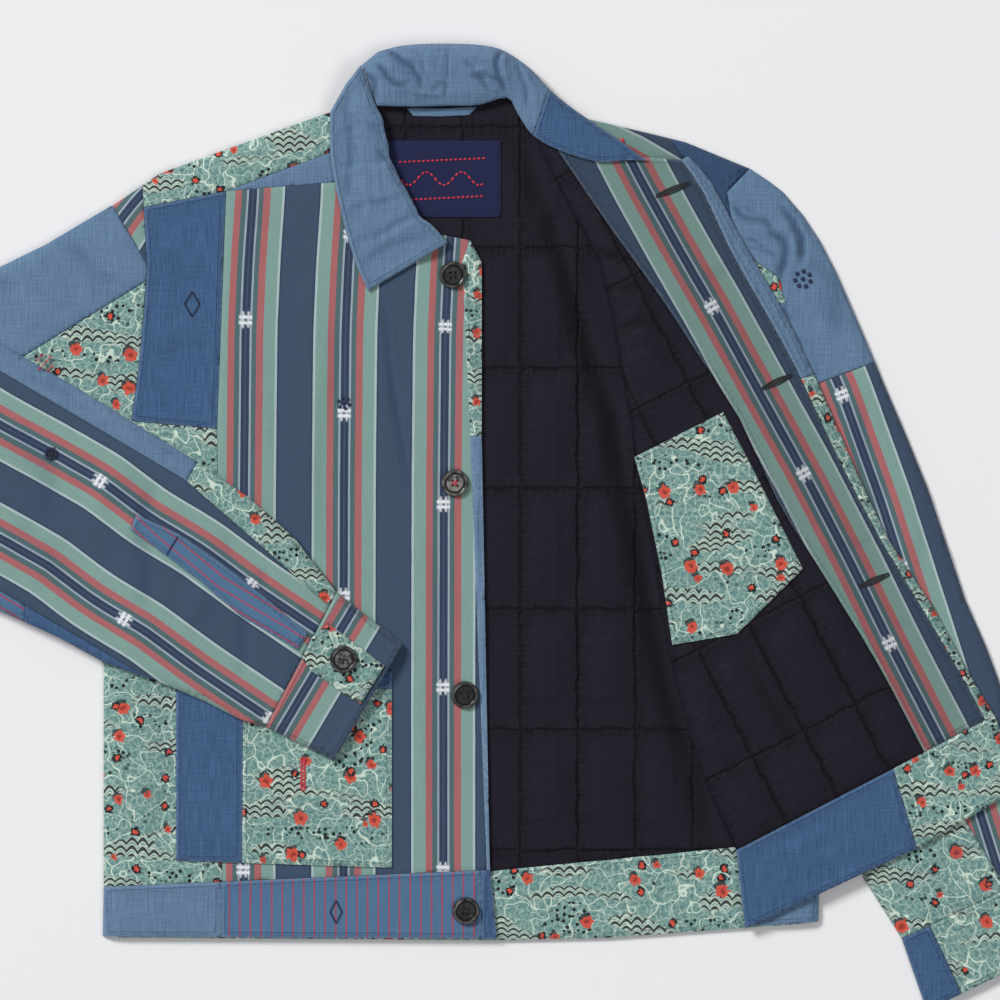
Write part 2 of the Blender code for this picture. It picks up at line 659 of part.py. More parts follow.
def open_quilt(plan):
    """Top of the opened front's lining: the same quilting, turned along the front edge."""
    offset = (plan - QUILT_CORNER) * UNIT
    raised = puff(offset.dot(Vector((FRONT_RUN.y, -FRONT_RUN.x))), offset.dot(FRONT_RUN))
    edge_x = x_on([row[2:4] for row in OPEN_SECTIONS], plan.y)
    shown = smooth((edge_x - plan.x - 4) / 14) * smooth((away_from(plan, FOLD_EDGE) - 10) / 14)
    shown *= smooth((away_from(plan, ((736, 850), (924, 752))) - 2) / 10) * smooth((plan.y - 158) / 20)
    if inside(plan, pocket_outline):
        shown = 0.0
    shown *= smooth((away_from(plan, pocket_outline) - 24) / 10)
    return fold_high(plan) + QUILT_PUFF * shown * raised


open_lines = []
across = Vector((FRONT_RUN.y, -FRONT_RUN.x))
for i in range(-15, 13):
    open_lines.append((QUILT_CORNER + across * (i * column_units / 3), FRONT_RUN))
for i in range(-22, 8):
    open_lines.append((QUILT_CORNER + FRONT_RUN * (i * row_units / 4), across))
open_lining = quilt_cells(sheet(between(0, 2), (0, 0.03, 0.08, 1), step=60), open_lines)
piece("left_front_lining", open_lining, fold_low, open_quilt, lining)

band_low = rolled(OPEN_LINING_LOW, OVER_FRONT, (OUTER_EDGE,), BAND_ROLL)
band_high = rolled(OPEN_LINING_TOP, OVER_FRONT + CLOTH, (OUTER_EDGE,), BAND_ROLL)
piece("left_front_facing", sheet(between(2, 4), even(3), 60), OPEN_LINING_LOW, OPEN_LINING_TOP, striped)
BAND_CHANGE = ((720, 400), (900, 352))
band_rows = between(4, 6)
piece("left_band_blue", cut(sheet(band_rows, even(2), 60), *BAND_CHANGE, (740, 250)),
      band_low, band_high, light_blue)
piece("left_band_print", cut(sheet(band_rows, even(2), 60), *BAND_CHANGE, (900, 560)),
      band_low, band_high, printed)
HEM_INSIDE_ROWS = (
    (736, 850, OPEN_HEM[0], OPEN_HEM[1]),
    (744, 845.9, 753.6, 925),
    (752, 841.8, 762, 921),
    (*HEM_COLOUR_JOIN, OPEN_HEM[2], OPEN_HEM[3]),
    (924, 752, 944, 832),
    (985, 720, OPEN_HEM[4], OPEN_HEM[5]),
    (991, 717.6, 1017.4, 788.4),
    (995, 716, OPEN_HEM[6], OPEN_HEM[7]),
)
hem_low = rolled(OPEN_LINING_LOW, OVER_FRONT, (FOLD_EDGE, OUTER_EDGE), BAND_ROLL)
hem_high = rolled(OPEN_LINING_TOP, OVER_FRONT + CLOTH, (FOLD_EDGE, OUTER_EDGE), BAND_ROLL)
piece("left_hem_inside_blue", sheet(HEM_INSIDE_ROWS[:4], even(3)), hem_low, hem_high, mid_blue)
piece("left_hem_inside_print", sheet(HEM_INSIDE_ROWS[3:], even(3)), hem_low, hem_high, printed)

# The outside of the opened front, face down under its lining
SHELL_FOLD_GAP = 14
shell_rows = []
for row in OPEN_SECTIONS:
    shell_rows.append((row[0] + SHELL_FOLD_GAP, row[1], row[6], row[7]))
shell_rows.append((OPEN_HEM[0] + SHELL_FOLD_GAP, OPEN_HEM[1], OPEN_HEM[6], OPEN_HEM[7]))
piece("left_front_shell", sheet(shell_rows, even(3), 60), OVER_FRONT, OVER_FRONT + CLOTH, striped,
      (BAND_ROLL + 1) * UNIT)

# Inner pocket on the opened lining
INNER_POCKET_ROWS = (
    (634, 457, 646, 499, 661, 571, 672, 645),
    (723, 412, 750, 463, 803, 569, 737, 634),
)
pocket_rows = []
for i in range(0, 8, 2):
    pocket_rows.append((*INNER_POCKET_ROWS[0][i:i + 2], *INNER_POCKET_ROWS[1][i:i + 2]))
piece("inner_pocket", sheet(pocket_rows, even(3)), OPEN_LINING_TOP + SEAM_GAP,
      OPEN_LINING_TOP + SEAM_GAP + CLOTH, printed)

# Collar: stands at the back neck, rolls over on the closed side, ends at the left shoulder
COLLAR_CROWN = 0.0155
FALL_INSET = 18
COLLAR_WALL = 0.0030
COLLAR_START = (361, 65, 364, 72)
LEAF_ROWS = (COLLAR_START, (346, 84, 368.6, 85)) + curved((
    (330, 112, 374.9, 103),
    (330, 152, 386, 135),
    (338, 199, 400, 180),
    (349, 243, 419, 211),
    (359, 272, 437, 230),
    (368, 291, 448, 243),
), 2)
COLLAR_FULL_ROWS = (COLLAR_START,) + curved((
    (378, 51, 376, 106),
    (402, 45, 412, 107),
    (450, 43, 449, 106),
    (485, 45, 480, 105),
    (506, 51, 507, 98),
    (531, 69, 517, 113),
    (549, 89, 533, 136),
    (567, 104, 557, 150),
    (585, 117, 596, 162),
    (618, 139, 625, 161),
    (642, 158, 647, 161),
))
COLLAR_PATCH_ROW = 19
COLLAR_BACK_ROWS = COLLAR_FULL_ROWS[:COLLAR_PATCH_ROW + 1]
COLLAR_END_ROWS = COLLAR_FULL_ROWS[COLLAR_PATCH_ROW:]
ROLL_COLUMNS = (0, 0.07, 0.2, 0.4, 0.6, 0.82, 1)
leaf_roll = [row[2:4] for row in LEAF_ROWS]
collar_outer = [row[0:2] for row in COLLAR_BACK_ROWS + COLLAR_END_ROWS[1:]]
collar_inner = [row[2:4] for row in COLLAR_BACK_ROWS + COLLAR_END_ROWS[1:]]


def leaf_top(plan):
    """The leaf lies on the front and swells up towards the line where it rolls over."""
    near = away_from(plan, leaf_roll)
    swell = math.exp(-((near - 11) / 14) ** 2)
    return OVER_FRONT + COLLAR_WALL + (COLLAR_CROWN - OVER_FRONT - COLLAR_WALL) * swell


def collar_top(plan):
    """Rises from the neck seam to the crown of the roll."""
    within = away_from(plan, collar_inner)
    low_edge = OVER_FRONT + COLLAR_WALL
    return low_edge + (COLLAR_CROWN - low_edge) * math.sqrt(math.sin(math.pi / 2 * min(1.0, within / 30)))


def down_to_floor(plan):
    """How far the outer side of the roll comes down, 1 to the floor and 0 on the shoulder."""
    return 1.0 - smooth((plan.x - 506) / 43)


def back_roll(top_level, reach, edge_level):
    """The round outer side of the collar at the back of the neck."""
    def height(plan):
        edge = edge_level + (OVER_FRONT - SEAM_GAP) * (1.0 - down_to_floor(plan))
        share = max(0.0, 1.0 - away_from(plan, collar_outer) / reach)
        return edge + (top_level - edge) * math.sqrt(1.0 - share * share)
    return height


outer_top = back_roll(COLLAR_CROWN, 17, COLLAR_WALL + SEAM_GAP)
outer_low = back_roll(COLLAR_CROWN - COLLAR_WALL, 13, SEAM_GAP)


def back_top(plan):
    """Top of the collar at the back of the neck."""
    return min(outer_top(plan), collar_top(plan))


def back_low(plan):
    """Under side of the collar at the back of the neck."""
    return min(outer_low(plan), collar_top(plan) - COLLAR_WALL)


piece("collar_leaf", sheet(LEAF_ROWS, ROLL_COLUMNS, 30), OVER_FRONT, leaf_top, light_blue)
piece("collar_back", sheet(COLLAR_BACK_ROWS, ROLL_COLUMNS, 30), back_low, back_top, light_blue)


def end_low(plan):
    """The collar's end climbs onto the opened front along its neck seam."""
    on_open_front = smooth((24 - away_from(plan, collar_inner)) / 8)
    over = OPEN_LINING_TOP - OVER_FRONT + SEAM_GAP
    return max(OVER_FRONT + over * on_open_front, min(outer_low(plan), collar_top(plan) - COLLAR_WALL))


def end_top(plan):
    """Top of the collar's end."""
    return max(end_low(plan) + COLLAR_WALL, back_top(plan))


piece("collar_end", sheet(COLLAR_END_ROWS, ROLL_COLUMNS, 30), end_low, end_top, mid_blue)
FALL_ROWS = [(row[0], row[1], row[2], row[3] - FALL_INSET) for row in COLLAR_FULL_ROWS[1:14]]
piece("collar_fall", sheet(FALL_ROWS, even(2), 40), 0.0, PADDED, light_blue, 1.6 * UNIT)

# Hanging loop and bare label at the back of the neck
LOOP_ROWS = ((405, 110, 405, 117), (441, 110.5, 441, 117.5), (477, 109, 477, 116))
piece("hanging_loop", sheet(LOOP_ROWS, even(1)), LINING_TOP + SEAM_GAP, LINING_TOP + CLOTH, light_blue)
label_rows = ((LABEL[0], LABEL[1], LABEL[0], LABEL[3]), (LABEL[2], LABEL[1], LABEL[2], LABEL[3]))
piece("neck_label", sheet(label_rows, even(2), 70), LINING_TOP + SEAM_GAP, LINING_TOP + CLOTH, label_cloth)

# Buttons: four-hole discs with a raised rim
BUTTONS = (
    ("button_1", 453, 275, FRONT_TOP),
    ("button_2", 455, 483, FRONT_TOP),
    ("button_3", 465, 695, FRONT_TOP),
    ("button_4", 466, 911, FRONT_TOP),
)
BUTTON_RING = ((0.0, 0.0), (0.80, 0.0), (1.0, 0.35), (1.0, 0.75), (0.88, 1.0), (0.74, 0.62), (0.0, 0.55))


def button(name, plan_x, plan_y, seat):
    """A turned disc on the cloth at a plan point."""
    bm = bmesh.new()
    radius = BUTTON_DIAMETER / 2
    ring = []
    for share, rise in BUTTON_RING:
        ring.append(bm.verts.new((share * radius, 0.0, rise * BUTTON_THICKNESS)))
    edges = [bm.edges.new(pair) for pair in zip(ring, ring[1:])]
    bmesh.ops.spin(bm, geom=ring + edges, cent=(0, 0, 0), axis=(0, 0, 1), angle=math.tau,
                   steps=18, use_merge=True)
    bmesh.ops.remove_doubles(bm, verts=bm.verts, dist=1e-6)
    bmesh.ops.recalc_face_normals(bm, faces=bm.faces)
    mesh = bpy.data.meshes.new(name)
    bm.to_mesh(mesh)
    bm.free()
    mesh.materials.append(button_black)
    made = bpy.data.objects.new(name, mesh)
    made.location = ((plan_x - CENTRE_X) * UNIT, (CENTRE_Y - plan_y) * UNIT, seat + SEAM_GAP)
    jacket.objects.link(made)


for button_name, plan_x, plan_y, seat in BUTTONS:
    button(button_name, plan_x, plan_y, seat)
button("cuff_button", 344, 659, on_forearm(Vector((344, 659))) + CLOTH)
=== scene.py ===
import math

import bmesh
import bpy
import numpy as np
from mathutils import Matrix, Vector, noise
from mathutils.bvhtree import BVHTree
from mathutils.kdtree import KDTree


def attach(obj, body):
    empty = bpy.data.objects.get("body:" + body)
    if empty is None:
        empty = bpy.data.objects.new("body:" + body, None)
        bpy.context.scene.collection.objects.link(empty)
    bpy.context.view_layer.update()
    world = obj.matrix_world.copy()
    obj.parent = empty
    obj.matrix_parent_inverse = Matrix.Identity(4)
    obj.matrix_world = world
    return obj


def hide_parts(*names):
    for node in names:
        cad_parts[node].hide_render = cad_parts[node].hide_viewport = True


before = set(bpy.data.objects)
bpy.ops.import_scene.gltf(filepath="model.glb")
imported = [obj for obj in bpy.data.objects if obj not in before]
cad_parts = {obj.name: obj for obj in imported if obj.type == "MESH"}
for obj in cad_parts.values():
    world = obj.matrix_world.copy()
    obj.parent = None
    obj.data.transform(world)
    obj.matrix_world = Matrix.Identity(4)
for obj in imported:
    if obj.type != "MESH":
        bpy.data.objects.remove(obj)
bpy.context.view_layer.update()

# Studio: a pale table under soft light, seen from straight above with a long
# lens. The plan is the flat drawing that the jacket is laid out on: X to the
# right, Y down, 719 units across the 575 mm hem, (500, 500) in the middle of the view.
HEM_WIDTH = 0.575
PLAN_UNIT = HEM_WIDTH / 719
CENTRE_LINE = 463
MIDDLE = 500
VIEW_WIDTH = 2 * MIDDLE * PLAN_UNIT
LENS = 200.0
SENSOR = 36.0
CLOTH_HEIGHT = 0.008
TABLE_HALF = 4.0
BELOW_CLOTH = 0.0004


def on_plan(x, y, z=0.0):
    """The place in the frame of a point on the plan."""
    return Vector(((x - CENTRE_LINE) * PLAN_UNIT, (MIDDLE - y) * PLAN_UNIT, z))


def add(tree, kind, values=(), **settings):
    """Adds a shader node, with sockets linked or given plain values."""
    node = tree.nodes.new(kind)
    for key, value in settings.items():
        setattr(node, key, value)
    for key, value in dict(values).items():
        if isinstance(value, bpy.types.NodeSocket):
            tree.links.new(value, node.inputs[key])
        else:
            node.inputs[key].default_value = value
    return node


def linear(red, green, blue):
    """A screen colour, 0 to 255, as the linear colour that shaders use."""
    channels = []
    for value in (red, green, blue):
        value /= 255.0
        channels.append(value / 12.92 if value <= 0.04045 else ((value + 0.055) / 1.055) ** 2.4)
    return (*channels, 1.0)


def plain_shader(name, **values):
    """A new material and its Principled shader, with sockets set by their names."""
    mat = bpy.data.materials.new(name)
    mat.use_nodes = True
    shader = mat.node_tree.nodes["Principled BSDF"]
    for socket, value in values.items():
        shader.inputs[socket.replace("_", " ")].default_value = value
    return mat, shader


def placed_object(name, data):
    """An object in the scene that shows some data."""
    made = bpy.data.objects.new(name, data)
    bpy.context.scene.collection.objects.link(made)
    return made


def object_from(name, bm, mat):
    """Turns a bmesh into an object with one material."""
    mesh = bpy.data.meshes.new(name)
    bm.to_mesh(mesh)
    bm.free()
    mesh.materials.append(mat)
    return placed_object(name, mesh)


camera_data = bpy.data.cameras.new("camera")
camera_data.lens = LENS
camera_data.sensor_width = SENSOR
camera_data.clip_end = 50.0
camera = placed_object("camera", camera_data)
camera.location = on_plan(MIDDLE, MIDDLE, CLOTH_HEIGHT + VIEW_WIDTH * LENS / SENSOR)
bpy.context.scene.camera = camera
bpy.context.scene.view_settings.view_transform = "Standard"

table_bm = bmesh.new()
bmesh.ops.create_grid(table_bm, x_segments=1, y_segments=1, size=TABLE_HALF)
bmesh.ops.translate(table_bm, verts=table_bm.verts, vec=(0, 0, -BELOW_CLOTH))
PALE = linear(233, 233, 234)
table_top = plain_shader("pale_table", Base_Color=PALE, Roughness=0.95, Specular_IOR_Level=0.1)[0]
table = object_from("table", table_bm, table_top)

# light name, place, size and power
SOFT_LIGHTS = (
    ("window_light", (-6.9, 5.9, 7.5), 3.9, 1240.0),
    ("fill_light", (4.0, -3.9, 6.0), 5.0, 180.0),
)
for light_name, place, size, power in SOFT_LIGHTS:
    light_data = bpy.data.lights.new(light_name, "AREA")
    light_data.shape = "DISK"
    light_data.size = size
    light_data.energy = power
    light = placed_object(light_name, light_data)
    light.location = place
    light.rotation_euler = (-Vector(place)).to_track_quat("-Z", "Y").to_euler()
world = bpy.data.worlds.new("studio")
world.use_nodes = True
world.node_tree.nodes["Background"].inputs["Color"].default_value = (0.97, 0.97, 1.0, 1.0)
world.node_tree.nodes["Background"].inputs["Strength"].default_value = 0.28
bpy.context.scene.world = world


# Hidden layers: the back, the undersides of both sleeves and the collar's fall.
# Plain light blue chambray, yarn-dyed cotton in a plain weave whose thick and thin
# threads show as short streaks. Laid out flat first, under all the rest.
LIGHT_BLUE_YARN = linear(118, 145, 171)
LIGHT_BLUE_SHADE = linear(62, 90, 124)
LEAST_SIDE = 0.0101
THIN_SHARE = 0.31
UPRIGHT = ((CENTRE_LINE, 0), (CENTRE_LINE, 2 * MIDDLE))
GUIDE_POINTS = 160


def node_group(name, inputs, outputs):
    """An empty shader group with named sockets; returns it with its ends."""
    tree = bpy.data.node_groups.new(name, "ShaderNodeTree")
    for socket, kind in inputs:
        tree.interface.new_socket(socket, in_out="INPUT", socket_type=kind)
    for socket, kind in outputs:
        tree.interface.new_socket(socket, in_out="OUTPUT", socket_type=kind)
    return tree, tree.nodes.new("NodeGroupInput"), tree.nodes.new("NodeGroupOutput")


def tree_of(*values):
    """The node tree that the first socket among some values is in."""
    return next(value.id_data for value in values if isinstance(value, bpy.types.NodeSocket))


def calc(operation, a, b=0.0, c=0.0, clamp=False):
    """One step of arithmetic on shader values."""
    values = {0: a, 1: b, 2: c}
    return add(tree_of(a, b, c), "ShaderNodeMath", values, operation=operation, use_clamp=clamp).outputs[0]


def feed(node, **values):
    """Links values to a node's sockets."""
    for socket, value in values.items():
        value.id_data.links.new(value, node.inputs[socket.replace("_", " ")])


def pattern_at(group, vector, **values):
    """What a shader group gives at a place."""
    return add(vector.id_data, "ShaderNodeGroup", {"Vector": vector, **values}, node_tree=group).outputs


def axes(vector):
    """The X and Y of a place."""
    return add(vector.id_data, "ShaderNodeSeparateXYZ", {0: vector}).outputs


def times(a, b):
    """Two shader values multiplied."""
    return calc("MULTIPLY", a, b)


def apart(a, b):
    """How far apart two shader values are."""
    return calc("ABSOLUTE", calc("SUBTRACT", a, b))


def held(value, slope, start):
    """A straight ramp of a shader value, held between 0 and 1."""
    return calc("MULTIPLY_ADD", value, slope, start, clamp=True)


def blend(factor, a, b, blend_type="MIX"):
    """Mixes two colours."""
    tree = tree_of(factor, a, b)
    mix = add(tree, "ShaderNodeMix", {0: factor, 6: a, 7: b}, data_type="RGBA", blend_type=blend_type)
    return mix.outputs[2]


def vector_sum(operation, *vectors):
    """One step of arithmetic on places."""
    return add(tree_of(*vectors), "ShaderNodeVectorMath", enumerate(vectors), operation=operation).outputs[0]


def speckle(vector, scale, detail, output="Fac"):
    """Smooth noise at a place."""
    texture = add(vector.id_data, "ShaderNodeTexNoise", {"Vector": vector, "Scale": scale, "Detail": detail})
    return texture.outputs[output]


def streaks(vector, scale, detail=2.0):
    """Noise drawn out along one direction, as uneven yarn is."""
    return speckle(vector_sum("MULTIPLY", vector, scale), 1.0, detail)


weave, weave_in, weave_out = node_group(
    "plain_weave",
    (("Vector", "NodeSocketVector"), ("Slub", "NodeSocketFloat")),
    (("Shade", "NodeSocketFloat"), ("Height", "NodeSocketFloat")),
)
place = weave_in.outputs["Vector"]
warp = streaks(place, (1250, 45, 0))
weft = streaks(place, (40, 1100, 0))
fine_warp = streaks(place, (2600, 500, 0), 0.0)
fine_weft = streaks(place, (500, 2600, 0), 0.0)
cloudy = streaks(place, (24, 24, 0), 3.0)
threads = calc("ADD", warp, calc("MULTIPLY_ADD", weft, 0.55, 0.225))
threads = calc("MULTIPLY_ADD", threads, weave_in.outputs["Slub"], 1.0)
threads = calc("SUBTRACT", threads, weave_in.outputs["Slub"])
fine = times(calc("ADD", fine_warp, fine_weft), 0.25)
shade = calc("ADD", calc("SUBTRACT", threads, 0.25), fine)
shade = times(shade, calc("MULTIPLY_ADD", cloudy, 0.16, 0.92))
feed(weave_out, Shade=shade, Height=calc("ADD", calc("ADD", warp, weft), fine))


def woven(vector, slub):
    """The plain weave at a place, as its shade and height."""
    return pattern_at(weave, vector, Slub=slub)


def cloth_shader(name, roughness=0.92, sheen=0.12, relief=0.00035, specular=0.2):
    """A material whose Principled shader has a cloth's sheen and a bump; returns its parts."""
    mat, shader = plain_shader(name, Roughness=roughness, Specular_IOR_Level=specular,
                               Sheen_Weight=sheen, Sheen_Roughness=0.5)
    bump = add(mat.node_tree, "ShaderNodeBump", {"Strength": 0.7, "Distance": relief})
    feed(shader, Normal=bump.outputs["Normal"])
    return mat, shader, bump


seam, seam_in, seam_out = node_group(
    "sewn_edge",
    (("Vector", "NodeSocketVector"), ("Edge", "NodeSocketFloat")),
    (("Thread", "NodeSocketFloat"), ("Worn", "NodeSocketFloat"), ("Height", "NodeSocketFloat")),
)
SEAM_IN = 0.0036
STITCH_PITCH = 0.0031
from_edge = seam_in.outputs["Edge"]
gathers = streaks(seam_in.outputs["Vector"], (300, 300, 0), 2.0)
off_seam = apart(from_edge, SEAM_IN)
seam_line = held(off_seam, -1 / 0.0009, 1.0)
by_seam = held(off_seam, -1 / 0.0075, 1.0)
turned_in = held(from_edge, -1000.0, SEAM_IN * 1000)
seam_place = axes(seam_in.outputs["Vector"])
stitch_step = calc("ADD", seam_place["X"], seam_place["Y"])
stitch_step = calc("FRACT", calc("DIVIDE", stitch_step, STITCH_PITCH))
thread = times(seam_line, calc("LESS_THAN", stitch_step, 0.72))
seam_height = times(times(by_seam, by_seam), gathers)
seam_height = calc("MULTIPLY_ADD", seam_height, 2.6, times(turned_in, 0.45))
seam_height = calc("MULTIPLY_ADD", seam_line, -1.0, seam_height)
# paler along the very edge: partly wear, partly a painted highlight on the crests of the gathers
pale_and_glint = held(from_edge, -1 / 0.0022, 1.0)
pale_and_glint = times(pale_and_glint, held(gathers, 3.0, -1.0))
feed(seam_out, Thread=thread, Worn=pale_and_glint, Height=seam_height)


def mark(tree, name):
    """A value that a mesh carries at its points."""
    return add(tree, "ShaderNodeAttribute", attribute_name=name).outputs["Fac"]


def grain(mat):
    """A piece's own cloth coordinates in metres: X across the warp and Y along it."""
    return add(mat.node_tree, "ShaderNodeUVMap", uv_map="grain").outputs["UV"]


def dress(shader, bump, colour, height, crease_shade_strength=0.62, crease_shade_colour=linear(32, 51, 82)):
    """Joins a cloth's colour and relief to its shader, with painted shade in the hollows of its creases."""
    # painted shade: the crease hollows are blended towards a dark colour
    painted_crease_shade = times(mark(shader.id_data, "painted_crease_shade"), crease_shade_strength)
    feed(shader, Base_Color=blend(painted_crease_shade, colour, crease_shade_colour))
    feed(bump, Height=height)


def sewn(shader, bump, vector, colour, height):
    """Dresses a cloth with a line of stitches and, along its edges, a paler rim that is partly wear and
    partly painted highlight.
    """
    sewing = pattern_at(seam, vector, Edge=mark(shader.id_data, "edge"))
    # the paler edge: wear, with a painted highlight on the gathers
    colour = blend(times(sewing["Worn"], 0.16), colour, linear(196, 206, 214))
    colour = blend(times(sewing["Thread"], 0.3), colour, linear(38, 50, 72))
    dress(shader, bump, colour, calc("MULTIPLY_ADD", sewing["Height"], 2.4, height))


def chambray(name, colour, dark, slub=0.7):
    """Yarn-dyed chambray in two shades of one blue."""
    mat, shader, bump = cloth_shader(name)
    threads = woven(grain(mat), slub)
    depth = held(threads["Shade"], 1.45, -0.95)
    sewn(shader, bump, grain(mat), blend(depth, dark, colour), threads["Height"])
    return mat


light_blue_cloth = chambray("light_blue_chambray", LIGHT_BLUE_YARN, LIGHT_BLUE_SHADE)


def eased(points):
    """Points spread evenly along a smooth line through the given plan points, in metres."""
    rows = np.array([on_plan(*point)[:2] for point in points])
    steps = np.r_[0, np.cumsum(np.linalg.norm(np.diff(rows, axis=0), axis=1))]
    fine = np.linspace(0, steps[-1], GUIDE_POINTS)
    line = np.stack([np.interp(fine, steps, rows[:, axis]) for axis in (0, 1)], axis=1)
    for _ in range(12 if len(points) > 2 else 0):
        line[1:-1] = (line[:-2] + 2 * line[1:-1] + line[2:]) / 4
    return line


def lay_grain(mesh, guide, across=0.0, along=0.0, drawn=1.0):
    """Writes the cloth coordinates of a mesh.

    The guide is a warp thread, as plan points, and drawn is how far it is stretched.
    """
    line = eased(guide)
    forward = np.gradient(line, axis=0)
    forward /= np.linalg.norm(forward, axis=1)[:, None]
    run = np.r_[0, np.cumsum(np.linalg.norm(np.diff(line, axis=0), axis=1))]
    spots = np.array([vertex.co[:2] for vertex in mesh.vertices])
    nearest = np.argmin(np.linalg.norm(spots[:, None] - line[None], axis=2), axis=1)
    away = spots - line[nearest]
    heading = forward[nearest]
    side = away[:, 1] * heading[:, 0] - away[:, 0] * heading[:, 1]
    ahead = away[:, 0] * heading[:, 0] + away[:, 1] * heading[:, 1]
    cloth = np.stack([side + across * PLAN_UNIT, (run[nearest] + ahead) / drawn + along * PLAN_UNIT], axis=1)
    layer = mesh.uv_layers.new(name="grain")
    corners = np.array([loop.vertex_index for loop in mesh.loops])
    layer.data.foreach_set("uv", cloth[corners].ravel())


def finish_piece(piece, slot, *nodes):
    """Rides a piece on the jacket and hides the nodes it stands for. The slot is not used."""
    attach(piece, "root")
    if nodes:
        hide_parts(*nodes)


def merged_copy(node):
    """A bmesh of a node's solid with its loose triangles joined up."""
    bm = bmesh.new()
    bm.from_mesh(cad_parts[node].data)
    bmesh.ops.remove_doubles(bm, verts=bm.verts, dist=1e-6)
    return bm


def smallest_rectangle(spots):
    """The sides of the smallest rectangle round some plan places."""
    best = None
    for degrees in range(0, 90, 3):
        turn = math.radians(degrees)
        u = spots[:, 0] * math.cos(turn) + spots[:, 1] * math.sin(turn)
        v = spots[:, 1] * math.cos(turn) - spots[:, 0] * math.sin(turn)
        sides = (np.ptp(u), np.ptp(v))
        if best is None or sides[0] * sides[1] < best[0] * best[1]:
            best = sides
    return max(best[0], LEAST_SIDE), max(best[1], LEAST_SIDE)


def lay_sheet(piece):
    """Works out the width and length of a piece's cut, which is what shows from above, as cloth laid flat;
    nothing uses them.
    """
    area = sum(polygon.area for polygon in piece.data.polygons if polygon.normal.z > 0.1)
    width, length = smallest_rectangle(np.array([vertex.co[:2] for vertex in piece.data.vertices]))
    if area < THIN_SHARE * width * length:
        length = max(width, length)
        width = max(area / length * 1.02, LEAST_SIDE)


def under_piece(node, slot, mat, guide=UPRIGHT):
    """A hidden layer: the node's own wall, in its cloth."""
    bm = merged_copy(node)
    bmesh.ops.recalc_face_normals(bm, faces=bm.faces)
    made = object_from("cloth_" + node, bm, mat)
    lay_grain(made.data, guide)
    finish_piece(made, slot, node)
    lay_sheet(made)


for under in ("back_shell", "right_sleeve_under", "left_sleeve_under", "collar_fall"):
    under_piece(under, "light_blue_chambray", light_blue_cloth)
under_piece("forearm_under", "light_blue_chambray", light_blue_cloth)


# Quilted lining: black satin-faced cotton over thin wadding, stitched down in
# blocks 46 mm wide and 96.5 mm long. The back's lies inside the body, and the
# opened front's lies on its own cloth, turned with it.
LINING_WALL = 0.0020
LINING_SHEET = 0.0018
PUFF = 0.0032
QUILT_COLUMN = 0.046
QUILT_ROW = 0.0965
CLOTH_STEP = 0.0030
EDGE_ROUND = 0.0011
EDGE_DIP = 0.0006
CALM_EDGE = 0.006
DEEP_CREASE = 0.0022
ABOVE_TABLE = 0.0001
PAST_SEAM = 0.05
SINGLE_WALL = 0.0016
surfaces = {}


def crease_height(spots, creases):
    """Heights of soft creases. Each has its plan points, then a half-width and a height in mm."""
    heights = np.zeros(len(spots))
    for *path, half_width, height in creases:
        points = np.array([on_plan(x, y)[:2] for x, y in zip(path[::2], path[1::2])])
        lengths = np.linalg.norm(np.diff(points, axis=0), axis=1)
        nearest, across, along = (np.full(len(spots), np.inf) for _ in range(3))
        for index, length in enumerate(lengths):
            run = (points[index + 1] - points[index]) / length
            away = spots - points[index]
            part = away @ run
            side = away[:, 1] * run[0] - away[:, 0] * run[1]
            gap = np.hypot(side, part - np.clip(part, 0, length))
            closer = gap < nearest
            nearest = np.where(closer, gap, nearest)
            across = np.where(closer, np.sign(side) * gap / (half_width * PLAN_UNIT), across)
            along = np.where(closer, (lengths[:index].sum() + part) / lengths.sum(), along)
        across = across + 0.5 * np.sin(along * 7 + path[0])
        ends = np.clip(np.minimum(along + 0.06, 1.06 - along) / 0.3, 0, 1)
        profile = np.exp(-across ** 2) - 0.45 * np.exp(-((across - 1.7) ** 2))
        heights += height * 0.001 * profile * ends * ends * (3 - 2 * ends)
    return heights


